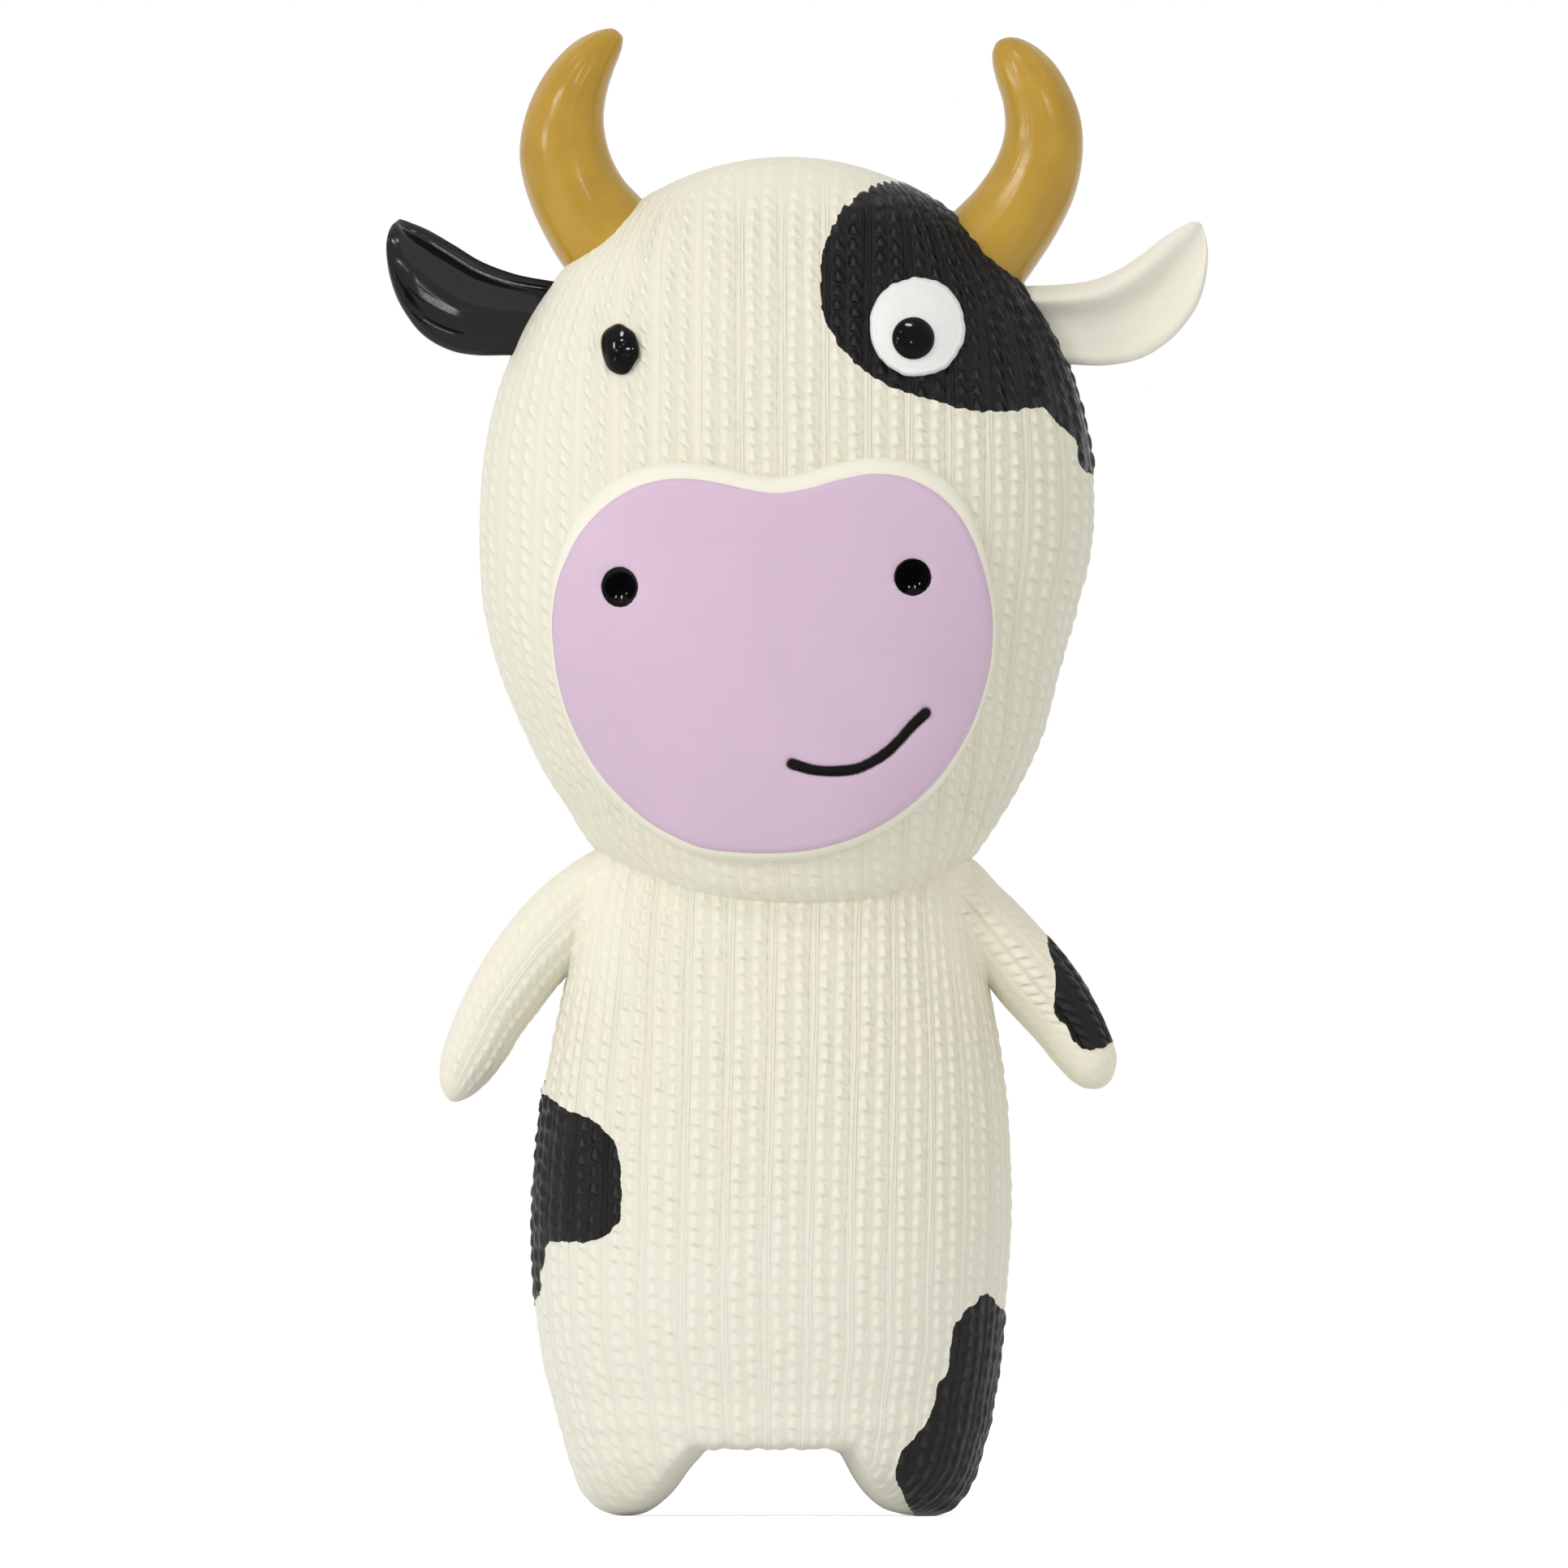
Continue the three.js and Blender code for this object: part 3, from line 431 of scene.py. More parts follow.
def volume(points, quads, tris):
    """Signed volume inside the faces."""
    faces = np.concatenate([quads[:, [0, 1, 2]], quads[:, [0, 2, 3]], tris])
    a, b, c = points[faces[:, 0]], points[faces[:, 1]], points[faces[:, 2]]
    return float(np.einsum("ij,ij->i", a, np.cross(b, c)).sum()) / 6


def make_mesh(name, points, quads, tris, uv=None, values=None):
    """A mesh from points in millimetres; faces are turned outwards."""
    quads = np.asarray(quads, np.int64).reshape(-1, 4)
    tris = np.asarray(tris, np.int64).reshape(-1, 3)
    if volume(points, quads, tris) < 0:
        quads, tris = quads[:, ::-1], tris[:, ::-1]
        if uv is not None:
            uv = (uv[0][:, ::-1], uv[1][:, ::-1])
    mesh = bpy.data.meshes.new(name)
    mesh.vertices.add(len(points))
    mesh.vertices.foreach_set("co", ((points + OFFSET) * MM).astype(np.float32).ravel())
    totals = np.concatenate([np.full(len(quads), 4), np.full(len(tris), 3)])
    corners = np.concatenate([quads.ravel(), tris.ravel()])
    mesh.loops.add(len(corners))
    mesh.loops.foreach_set("vertex_index", corners.astype(np.int32))
    mesh.polygons.add(len(totals))
    mesh.polygons.foreach_set("loop_start", (np.cumsum(totals) - totals).astype(np.int32))
    mesh.polygons.foreach_set("use_smooth", np.ones(len(totals), bool))
    if uv is not None:
        layer = mesh.uv_layers.new(name="knit")
        flat = np.concatenate([uv[0].reshape(-1, 2), uv[1].reshape(-1, 2)])
        layer.data.foreach_set("uv", flat.astype(np.float32).ravel())
    for key, value in (values or {}).items():
        stored = mesh.attributes.new(key, "FLOAT", "POINT")
        stored.data.foreach_set("value", value.astype(np.float32))
    mesh.update(calc_edges=True)
    mesh.validate()
    return mesh


def normals_of(points, quads, tris):
    """Outward unit normals at the points of a mesh."""
    mesh = make_mesh("scratch", points, quads, tris)
    found = np.empty(len(points) * 3, np.float32)
    mesh.vertex_normals.foreach_get("vector", found)
    bpy.data.meshes.remove(mesh)
    return found.reshape(-1, 3).astype(float)


def add_piece(name, mesh, material, nodes=()):
    """Puts a mesh in the scene as a piece of the toy that stands for the given nodes."""
    piece = bpy.data.objects.new(name, mesh)
    bpy.context.scene.collection.objects.link(piece)
    piece.data.materials.append(bpy.data.materials[material])
    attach(piece, ROOT)
    if nodes:
        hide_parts(*nodes)
    return piece


# The moulded knit

# Across one pair of cords, in millimetres: its width, the middles and the half width of its
# cords, the line between them, the start of the gutter and the width of a fine rib in it
PAIR = 6.5
CORD_MIDDLES = (1.36, 3.9)
CORD_HALF = 1.27
CORD_LINE = 2.63
GUTTER = 5.15
RIB = 0.62
# How far stitches lean, how far cords wander in millimetres, and how far stitches shift along
LEAN = 0.10
WANDER = 0.13
JITTER = 0.15


class Arrays:
    """The sums of the knit's formula, on arrays."""

    floor, sin, exp = np.floor, np.sin, np.exp

    @staticmethod
    def step(low, high, value):
        return step_up(low, high, value)

    @staticmethod
    def least(value, limit):
        return np.maximum(value, limit)

    @staticmethod
    def below(value, limit):
        return (value < limit) * 1.0


def knit_formula(across, level, lean, m):
    """Height of the knit and depth of its nicks, from 0 to 1, at pairs across and stitches up."""
    index = m.floor(across)
    leaf = m.below(lean, -0.2)
    place = (across - index) * PAIR
    sway = m.sin(level * 0.55 + index * 1.9) * 0.10
    line, seam = (place - sway - GUTTER) / 0.17, (place - sway - CORD_LINE) / 0.24
    line, seam = m.exp(line * line * -1.0), m.exp(seam * seam * -1.0)
    gutter = m.step(GUTTER, GUTTER + 0.3, place) * m.step(PAIR, PAIR - 0.25, place)
    ribs = m.sin((place + sway) * (2 * math.pi / RIB))
    # Fine lines fade where the stitches lean, as on the arms and beside the bead eye
    plain = m.step(0.28, 0.12, lean) * (1.0 - leaf * 0.8)
    height = gutter * (ribs * plain * 0.12 + 0.14) + 0.34
    height = height - line * plain * 0.16 - seam * (leaf * 0.25 + 0.10)
    nicks = line * plain * m.step(-0.2, 0.8, m.sin(level * (2 * math.pi) + index + 1.0)) * 0.4
    for k, middle in enumerate(CORD_MIDDLES):
        column = index * 2.0 + k
        off = place - middle - m.sin(level * 0.8 + column * 2.4) * WANDER
        climb = level + m.sin(column * 2.4 + 1.0) * JITTER
        climb = climb + m.sin(level * 0.83 + column * 1.7) * JITTER + off * lean
        row = m.floor(climb)
        up = climb - row
        luck = m.sin(column * 12.9898 + row * 78.233) * 43758.5453
        luck = luck - m.floor(luck)
        # A stitch is a drop: wide at its foot, narrow at its top, with a longer slope to its right;
        # on the arms it is a leaf as wide as its cord
        ridge = off + (0.40 - luck * 0.2) * (1.0 - leaf)
        near = m.below(ridge, 0.0)
        reach = (near * -0.30 + 1.0) * (m.step(0.15, 1.0, up) * -0.5 + 1.0)
        cross = ridge / (reach * (1.0 - leaf) + leaf * 1.1)
        cross = m.exp(cross * cross * -1.3)
        lift = m.step(0.0, 0.28, up) * m.step(1.12, 0.5, up)
        height = height + cross * lift * (luck * 0.40 + 0.34)
        nick = m.step(0.22, 0.0, up) * (m.step(-0.35, 0.45, off) * (1.0 - leaf) + leaf * 0.7)
        nick = nick * m.step(1.3, 0.8, off)
        nicks = nicks + nick * m.step(0.3, 1.0, luck) * 0.6
    return height, nicks


def to_segment(x, z, a, b):
    """Distance in millimetres from places to the straight line between two points."""
    way = b - a
    t = np.clip(((x - a[0]) * way[0] + (z - a[1]) * way[1]) / max(way @ way, 1e-9), 0, 1)
    return np.hypot(x - a[0] - t * way[0], z - a[1] - t * way[1])


def inside(x, z, outline):
    """Signed distance in millimetres to a closed outline, positive inside it."""
    nearest = np.full(x.shape, 1e9)
    crossings = np.zeros(x.shape, int)
    for a, b in zip(outline, np.roll(outline, -1, axis=0)):
        nearest = np.minimum(nearest, to_segment(x, z, a, b))
        if a[1] != b[1]:
            spans = (a[1] > z) != (b[1] > z)
            crossings += spans & (x < (b[0] - a[0]) * (z - a[1]) / (b[1] - a[1]) + a[0])
    return np.where(crossings % 2 == 1, nearest, -nearest)


def patch_field(x, z, around, along, pair, stitch, outline, seed, follow=0.08):
    """Distance into a patch, its edge stepped a little along the stitches that it covers."""
    draw = np.random.default_rng(seed)
    curve = closed_curve(at(outline), 4 * len(outline))
    place = around * PAIR / pair
    cell = CORD_HALF * 2
    cell_x = (np.floor(place / cell) + 0.5) * cell - place
    cell_z = (np.floor(along / stitch + 0.3 * place) + 0.5 - along / stitch - 0.3 * place) * stitch
    wobble = draw.uniform(0, 2 * math.pi, 6)
    rough = sum(np.sin(x * (1.1 + 0.5 * k) + z * (1.7 - 0.45 * k) + wobble[k]) for k in range(6))
    return inside(x + follow * cell_x, z + follow * cell_z, curve) + 0.05 * rough


# Finishes

class Value:
    """A number in a material's nodes that can be added, multiplied and so on."""

    def __init__(self, shader, socket):
        self.shader, self.socket = shader, socket

    def __add__(self, other):
        return self.shader.math("ADD", self, other)

    def __sub__(self, other):
        return self.shader.math("SUBTRACT", self, other)

    def __rsub__(self, other):
        return self.shader.math("SUBTRACT", other, self)

    def __mul__(self, other):
        return self.shader.math("MULTIPLY", self, other)

    def __truediv__(self, other):
        return self.shader.math("DIVIDE", self, other)

    __radd__, __rmul__ = __add__, __mul__


class Shader:
    """A material's nodes, added one after another."""

    def __init__(self, name):
        self.material = bpy.data.materials.new(name)
        self.material.use_nodes = True
        self.nodes = self.material.node_tree.nodes
        self.links = self.material.node_tree.links
        self.surface = self.nodes["Principled BSDF"]

    def add(self, kind, **settings):
        node = self.nodes.new(kind)
        for key, value in settings.items():
            setattr(node, key, value)
        return node

    def put(self, socket, value):
        """Gives a socket a value, a plain number or a colour."""
        if isinstance(value, Value):
            self.links.new(value.socket, socket)
        elif isinstance(value, bpy.types.NodeSocket):
            self.links.new(value, socket)
        elif hasattr(value, "__len__") and len(socket.default_value) == 4:
            socket.default_value = (*value, 1)
        else:
            socket.default_value = value

    def math(self, operation, *values):
        node = self.add("ShaderNodeMath", operation=operation)
        for socket, value in zip(node.inputs, values):
            self.put(socket, value)
        return Value(self, node.outputs[0])

    def floor(self, value):
        return self.math("FLOOR", value)

    def sin(self, value):
        return self.math("SINE", value)

    def exp(self, value):
        return self.math("EXPONENT", value)

    def least(self, value, limit):
        return self.math("MAXIMUM", value, limit)

    def below(self, value, limit):
        return self.math("LESS_THAN", value, limit)

    def step(self, low, high, value):
        return self.span(value, low, high, 0.0, 1.0)

    def span(self, value, low, high, start, end):
        """A value from low to high turned into one from start to end, smoothly."""
        node = self.add("ShaderNodeMapRange", interpolation_type="SMOOTHSTEP")
        for key, number in (("Value", value), ("From Min", low), ("From Max", high),
                            ("To Min", start), ("To Max", end)):
            self.put(node.inputs[key], number)
        return Value(self, node.outputs[0])

    def parts(self, vector):
        """The three numbers of a vector."""
        node = self.add("ShaderNodeSeparateXYZ")
        self.put(node.inputs[0], vector)
        return [Value(self, out) for out in node.outputs]

    def stored(self, name):
        """A value stored on the mesh."""
        return Value(self, self.add("ShaderNodeAttribute", attribute_name=name).outputs["Fac"])

    def places(self, scale=(1, 1, 1), turn=(0, 0, 0)):
        """Object coordinates in millimetres, stretched by scale."""
        here = self.add("ShaderNodeTexCoord").outputs["Object"]
        return self.mapped(here, [v / MM for v in scale], turn)

    def mapped(self, vector, scale, turn=(0, 0, 0)):
        node = self.add("ShaderNodeMapping")
        self.put(node.inputs["Vector"], vector)
        node.inputs["Scale"].default_value = scale
        node.inputs["Rotation"].default_value = turn
        return node.outputs[0]

    def noise(self, vector, scale, detail=3.0, rough=0.5):
        node = self.add("ShaderNodeTexNoise")
        for key, value in (("Vector", vector), ("Scale", scale), ("Detail", detail),
                           ("Roughness", rough)):
            self.put(node.inputs[key], value)
        return Value(self, node.outputs["Fac"])

    def mix(self, factor, first, second):
        """One colour mixed into another."""
        node = self.add("ShaderNodeMix", data_type="RGBA")
        for socket, value in zip([s for s in node.inputs if s.enabled], (factor, first, second)):
            self.put(socket, value)
        return next(s for s in node.outputs if s.enabled)

    def bump(self, height, distance, base=None):
        """A normal bent by a height that is this many millimetres at 1."""
        node = self.add("ShaderNodeBump")
        node.inputs["Distance"].default_value = distance * MM
        self.put(node.inputs["Height"], height)
        if base is not None:
            self.put(node.inputs["Normal"], base)
        return node.outputs[0]

    def finish(self, base, rough, normal=None, **plain):
        self.put(self.surface.inputs["Base Color"], base)
        self.put(self.surface.inputs["Roughness"], rough)
        if normal is not None:
            self.put(self.surface.inputs["Normal"], normal)
        for key, value in plain.items():
            self.surface.inputs[key.replace("_", " ")].default_value = value
        return self.material


def shade(value, factor):
    """A colour made lighter or darker by a factor, channel by channel."""
    factor = factor if hasattr(factor, "__len__") else (factor,) * 3
    return tuple(min(1.0, v * f) for v, f in zip(value, factor))


def knit_finish():
    """Satin rubber with the knit's fine marks, cream with glossier black patches."""
    c = colours()
    s = Shader("knit_rubber")
    here = s.places()
    across, level, _ = s.parts(s.add("ShaderNodeUVMap", uv_map="knit").outputs[0])
    patch, clarity = s.stored("patch"), s.stored("clarity")
    mask = s.step(-0.05, 0.05, patch + (s.noise(here, 1.6, 2.0) - 0.5) * 0.25)
    height, nicks = knit_formula(across, level, s.stored("lean"), s)
    grain, pores = s.noise(here, 1.8, 4.0, 0.6), s.noise(here, 6.0, 3.0, 0.6)
    knit = (height - nicks * 0.17) * clarity * (mask * 0.7 + 1.0)
    normal = s.bump(knit, sizes().relief / MM)
    normal = s.bump((grain + pores * 0.2) * (mask * 1.2 + 1.0), 0.12, normal)
    # Cream varies softly from place to place; painted shade makes it a little darker and warmer in
    # the hollows of the knit
    cream = s.mix(s.step(0.38, 0.62, s.noise(here, 0.10, 2.0)), shade(c.cream, (1.01, 0.98, 0.98)),
                  shade(c.cream, (0.98, 1.0, 0.99)))
    fleck = s.span(s.noise(here, 0.40, 2.0), 0.35, 0.7, 0, 0.6)
    cream = s.mix(fleck, cream, shade(c.cream, (1.02, 0.98, 0.945)))
    wide, _, tall = s.parts(here)
    # Painted shade: the right side, which the lamps light least, is tinted warmer
    cream = s.mix(s.span(wide, 0, 32, 0, 1), cream, shade(c.cream, (1.02, 0.995, 0.95)))
    # Painted light: the cream turns cooler towards the bottom, for light thrown up from the white
    # floor
    cream = s.mix(s.span(tall, 20, 110, 0.6, 0), cream, shade(c.cream, (0.985, 1.0, 1.05)))
    # Painted shade: the cream turns darker from the neck upwards, so the head is darker than the
    # body
    cream = s.mix(s.span(tall, 88, 118, 0, 1), cream, shade(c.cream, (0.965, 0.96, 0.945)))
    # Painted highlight: the cream is lighter on the tops of the stitches
    cream = s.mix(s.span(height, 0.45, 0.95, 0, 0.7), cream, shade(c.cream, (1.035, 1.035, 1.01)))
    # Painted shade: the cream darkens and warms in the hollows of the knit and in the nicks under
    # the stitches
    valley_shade = (s.step(0.60, 0.20, height) * 0.34 + nicks * 0.36) * clarity
    cream = s.mix(valley_shade, cream, shade(c.cream, (0.80, 0.76, 0.68)))
    # Painted reflection and shade on the black patches: lighter on the stitch tops, darker in the
    # hollows
    black_sheen_and_shade = s.mix(s.span(height, 0.42, 1.0, 0, 1), shade(c.black, 0.25), shade(c.black, 2.1))
    # The patches are glossiest on the head and dullest on the leg
    rough = s.span(mask, 0, 1, 0.50, s.span(tall, 20, 160, 0.44, 0.13))
    rough = rough + s.span(pores, 0.3, 0.7, -0.05, 0.06)
    return s.finish(s.mix(mask, cream, black_sheen_and_shade), rough, normal, Specular_IOR_Level=0.20)


def smooth_finish(name, value, rough, grain, mottling, gloss):
    """Smooth moulded rubber: soft colour variation, faint grain and uneven shine."""
    s = Shader(name)
    here = s.places()
    base = s.mix(s.step(0.3, 0.7, s.noise(here, 0.09, 3.0)), shade(value, 1 - mottling),
                 shade(value, 1 + mottling))
    fine, wave = s.noise(here, 1.4, 5.0, 0.62), s.noise(here, 0.16, 2.0)
    shine = s.span(fine, 0.3, 0.7, rough - 0.05, rough + 0.05)
    shine = shine + s.span(wave, 0.3, 0.7, -0.04, 0.04)
    return s.finish(base, shine, s.bump(wave * 2.2 + fine, grain), Specular_IOR_Level=gloss)


def horn_finish():
    """Mustard rubber, glossy, with slow waves that run along the horn."""
    c = colours()
    s = Shader("horn_rubber")
    here = s.places()
    uv = s.add("ShaderNodeUVMap", uv_map="knit").outputs[0]
    waves = s.noise(s.mapped(uv, (1.0, 0.12, 1.0)), 0.30, 2.0, 0.4)
    fine = s.noise(here, 1.2, 4.0, 0.6)
    base = s.mix(s.step(0.3, 0.7, s.noise(here, 0.10, 3.0)), shade(c.mustard, (0.90, 0.88, 0.75)),
                 shade(c.mustard, (1.05, 1.06, 1.15)))
    normal = s.bump(waves * 1.6 + fine * 0.08, 0.25)
    return s.finish(base, s.span(fine, 0.3, 0.7, 0.21, 0.26), normal, Specular_IOR_Level=0.34)


def gloss_finish(name, value, rough, lumps, gloss):
    """Enamel brushed on, glossy and a little uneven."""
    s = Shader(name)
    here = s.places()
    wave, speck = s.noise(here, 0.35, 1.0), s.noise(here, 3.0, 3.0)
    base = s.mix(s.step(0.35, 0.65, wave), shade(value, 0.985), shade(value, 1.01))
    shine = s.span(speck, 0.3, 0.7, rough * 0.8, rough * 1.25)
    return s.finish(base, shine, s.bump(wave + speck * 0.02, lumps), Specular_IOR_Level=gloss)


def fibre_finish():
    """Loose fibre: fine crossed strands in a soft white."""
    c = colours()
    s = Shader("filling_fibre")
    strands = s.least(s.noise(s.places((3.0, 0.3, 0.3), (0.4, 0.2, 0.9)), 1.0, 4.0, 0.7),
                      s.noise(s.places((0.3, 0.4, 3.0), (0.9, 0.5, 0.3)), 1.0, 4.0, 0.7))
    base = s.mix(s.step(0.4, 0.75, strands), shade(c.fibre, 0.72), shade(c.fibre, 1.08))
    return s.finish(base, 0.95, s.bump(strands, 1.2), Sheen_Weight=0.4)


def plastic_finish():
    """Satin moulded plastic of the squeaker."""
    c = colours()
    s = Shader("squeaker_plastic")
    fine = s.noise(s.places(), 1.2, 4.0, 0.6)
    base = s.mix(s.step(0.3, 0.7, fine), shade(c.plastic, 0.96), shade(c.plastic, 1.04))
    return s.finish(base, s.span(fine, 0.3, 0.7, 0.28, 0.4), s.bump(fine, 0.08))


# Pieces

HEAD = upright_profile(HEAD_ROWS, 0.25)


def face_depth(x, z):
    """How far forward the head's smooth surface lies at places on the face."""
    middle, width, front, _ = level_at(HEAD, z)
    side = np.clip(np.abs(x - middle) / np.maximum(width, 1e-6), 0, 0.999)
    return front * bulge(side, HEAD_ROUNDNESS)


def skin_fields(points, normals, around, along, fade, patch, pair, lean=LEAN):
    """Moves the points of a skin out by its knit and returns them with what the finish reads."""
    s = sizes()
    relief, _ = knit_formula(around / pair, along / (s.stitch / MM), lean, Arrays)
    raised = step_up(-0.3, 0.3, patch) * s.patch_rise / MM
    deeper = 1 + 0.7 * step_up(-0.1, 0.3, patch)
    lift = fade * (s.relief / MM) * (relief - 0.5) * deeper + raised
    values = {"clarity": fade, "patch": patch, "lean": lean + 0 * fade}
    return points + normals * lift[:, None], values


def corner_uv(quads, tris, around, along, pair, stitch, whole):
    """UV corners in pairs and stitches, made whole across the seam at the back."""
    made = []
    for faces in (quads, tris):
        u = around[faces]
        jump = u.max(1, keepdims=True) - u > whole / 2
        u = u + jump * whole
        made.append(np.stack([u / pair, along[faces] / stitch], -1))
    return tuple(made)


class BuildHead(bpy.types.Operator):
    """Knitted head with its black patch"""

    bl_idname = "toy.head"
    bl_label = "Head"

    def execute(self, context):
        step, stitch = sizes().skin_step / MM, sizes().stitch / MM
        profile = upright_profile(HEAD_ROWS, step)
        widest = profile[np.argmax(profile[:, 2])]
        angles, length = even_angles(*widest[2:], HEAD_ROUNDNESS, step)
        grid = section(profile, angles, HEAD_ROUNDNESS)
        pairs = int(round(0.868 * length / (sizes().pair / MM)))
        pair = length / pairs
        # Distance round from the middle of the face, and the same made even towards the sides
        run = run_round(grid)
        to_side = np.array([np.interp(2 * math.pi, angles, r) for r in run])[:, None]
        to_back = run[:, [-1]]
        full_side = to_side.max()
        part = np.abs(run) / np.maximum(to_side, 1e-6)
        # Columns lean with the sides, but no further than they do at these two heights
        calm = np.interp(np.clip(profile[:, 0], 112, 196), profile[:, 0], to_side[:, 0])[:, None]
        front = run * (1 + (full_side / calm - 1) * step_up(0.45, 1.0, part))
        at_side = to_side * full_side / calm
        rest = np.maximum(to_back - to_side, 1e-3)
        # The cords spread out towards the sides
        spread = np.linspace(0, 2, 401)
        density = 1 - 0.22 * (1 + np.cos(np.clip(np.abs(spread - 1) / 0.6, 0, 1) * math.pi))
        total = np.concatenate([[0], np.cumsum((density[1:] + density[:-1]) / 2)])
        total *= 2 / total[-1]
        turn = np.where(part <= 1, part, 1 + (np.abs(run) - to_side) / rest)
        spread_at = np.interp(turn, spread, total)
        front = front * spread_at / np.maximum(part, 1e-6)
        at_side = at_side * total[200]
        past = (spread_at - total[200]) / (2 - total[200])
        back = np.sign(run) * (at_side + past * (length / 2 - at_side))
        around = np.where(part <= 1, front, back)
        heights = np.concatenate([[0], np.cumsum(np.hypot(np.diff(profile[:, 0]),
                                                          0.5 * np.diff(profile[:, 2])))])
        along = heights[:, None] + 0 * around
        # Places beyond the sides count as further out, so that patches wrap round
        beyond = profile[:, [1]] + np.sign(run) * (profile[:, [2]] + np.abs(run) - to_side)
        flat_x = np.where(part <= 1, grid[..., 0], beyond)
        points, quads, tris = closed_form(grid)
        around, along, flat_x = (np.concatenate([a[1:-1, :-1].ravel(), a[[0, -1], 0]])
                                 for a in (around, along, flat_x))
        z = points[:, 2]
        follow = 0.05 + 0.20 * step_up(172, 190, z)
        patch = patch_field(flat_x, z, around, along, pair, stitch, HEAD_PATCH, 11, follow)
        patch = np.minimum(patch, 21 + np.sin(0.45 * z) - points[:, 1])
        fade = (1 - step_up(198, 208.5, z)) * (1 - 0.6 * step_up(112, 97, z))
        fade = fade * (1 - 0.45 * step_up(-24, -44, points[:, 0]))
        for x0, z0, radius in ((-34, 198, 15), (36, 197, 8), (-42, 184, 12)):
            near = np.hypot(points[:, 0] - x0, z - z0)
            fade = fade * (0.3 + 0.7 * step_up(0.35 * radius, radius, near))
        normals = normals_of(points, quads, tris)
        lean = LEAN + 0.22 * step_up(-4, -22, points[:, 0]) * step_up(0, -10, points[:, 1])
        lean = lean + 0.45 * step_up(26, 37, points[:, 0]) * step_up(0, 1.5, patch)
        points, values = skin_fields(points, normals, around, along, fade, patch, pair, lean)
        uv = corner_uv(quads, tris, around, along, pair, stitch, length)
        mesh = make_mesh("knit_head", points, quads, tris, uv, values)
        piece = add_piece("knit_head", mesh, "knit_rubber", ("head_skin", "head_patch"))
        return {"FINISHED"}


def around_of(points, profile, roundness, table_angles, table_run):
    """Distance round a form at any places near its surface, from the middle of the front."""
    z = np.clip(points[:, 2], profile[2, 0], profile[-3, 0])
    middle, width, front, back = level_at(profile, z)
    across = (points[:, 0] - middle) / width
    depth = points[:, 1] / np.where(points[:, 1] < 0, front, back)
    power = roundness / 2
    angle = np.arctan2(np.sign(depth) * np.abs(depth) ** power,
                       np.sign(across) * np.abs(across) ** power)
    angle = np.where(angle < math.pi / 2, angle + 2 * math.pi, angle)
    row = np.interp(z, profile[:, 0], np.arange(len(profile)))
    column = np.interp(angle, table_angles, np.arange(len(table_angles)))
    r0, c0 = np.floor(row).astype(int), np.floor(column).astype(int)
    r1, c1 = np.minimum(r0 + 1, len(profile) - 1), np.minimum(c0 + 1, len(table_angles) - 1)
    fr, fc = row - r0, column - c0
    return ((table_run[r0, c0] * (1 - fc) + table_run[r0, c1] * fc) * (1 - fr)
            + (table_run[r1, c0] * (1 - fc) + table_run[r1, c1] * fc) * fr)


def rough_form(rows, roundness, step):
    """A plain closed form with level sections, as points and faces."""
    profile = upright_profile(rows, step)
    widest = profile[np.argmax(profile[:, 2])]
    angles, _ = even_angles(*widest[2:], roundness, step)
    return closed_form(section(profile, angles, roundness))


def leg_form(rows):
    """A leg whose front and back continue those of the body above it."""
    body = upright_profile(BODY_ROWS, 1.0)
    table = evenly(hermite(np.array(rows, float), 20), 0.8, [0, 1, 2])
    angles = np.linspace(0, 2 * math.pi, 96, endpoint=False)
    across, deep = np.cos(angles), np.sin(angles)
    z, outer, inner, share = table[1:-1].T[:, :, None]
    x = (outer + inner) / 2 + (outer - inner) / 2 * across
    level = np.maximum(z, 13.0)
    middle, width, front, back = level_at(body, level)
    # Straight below the body its own edge moves in with the leg's
    drift = np.abs(outer - middle) / width
    side = np.clip(np.abs(x - middle) / (width * drift), 0, 1)
    rim = np.abs(x - inner) / 4.0
    soft = np.sqrt(np.clip(1 - (1 - np.clip(rim, 0, 1)) ** 2, 0, 1))
    depth = bulge(side, BODY_ROUNDNESS) * share * soft
    y = np.where(deep < 0, -front, back) * depth
    grid = np.stack([x, y, z + 0 * x], -1)
    ends = [[table[k, 1:3].mean(), 0, table[k, 0]] for k in (0, -1)]
    points = np.concatenate([grid.reshape(-1, 3), ends])
    quads, tris = ring_faces(len(grid), len(angles))
    return points, quads, tris


def merged_form(name, forms, voxel, smoothing):
    """Forms joined into one even skin; returns its points, quads and triangles."""
    meshes = [make_mesh(name, *form) for form in forms]
    made = []
    for mesh in meshes:
        item = bpy.data.objects.new(name, mesh)
        bpy.context.scene.collection.objects.link(item)
        made.append(item)
    bpy.ops.object.select_all(action="DESELECT")
    for item in made:
        item.select_set(True)
    bpy.context.view_layer.objects.active = made[0]
    bpy.ops.object.join()
    whole = bpy.context.view_layer.objects.active
    made = remeshed(whole, voxel, smoothing)
    bpy.data.objects.remove(whole)
    return made


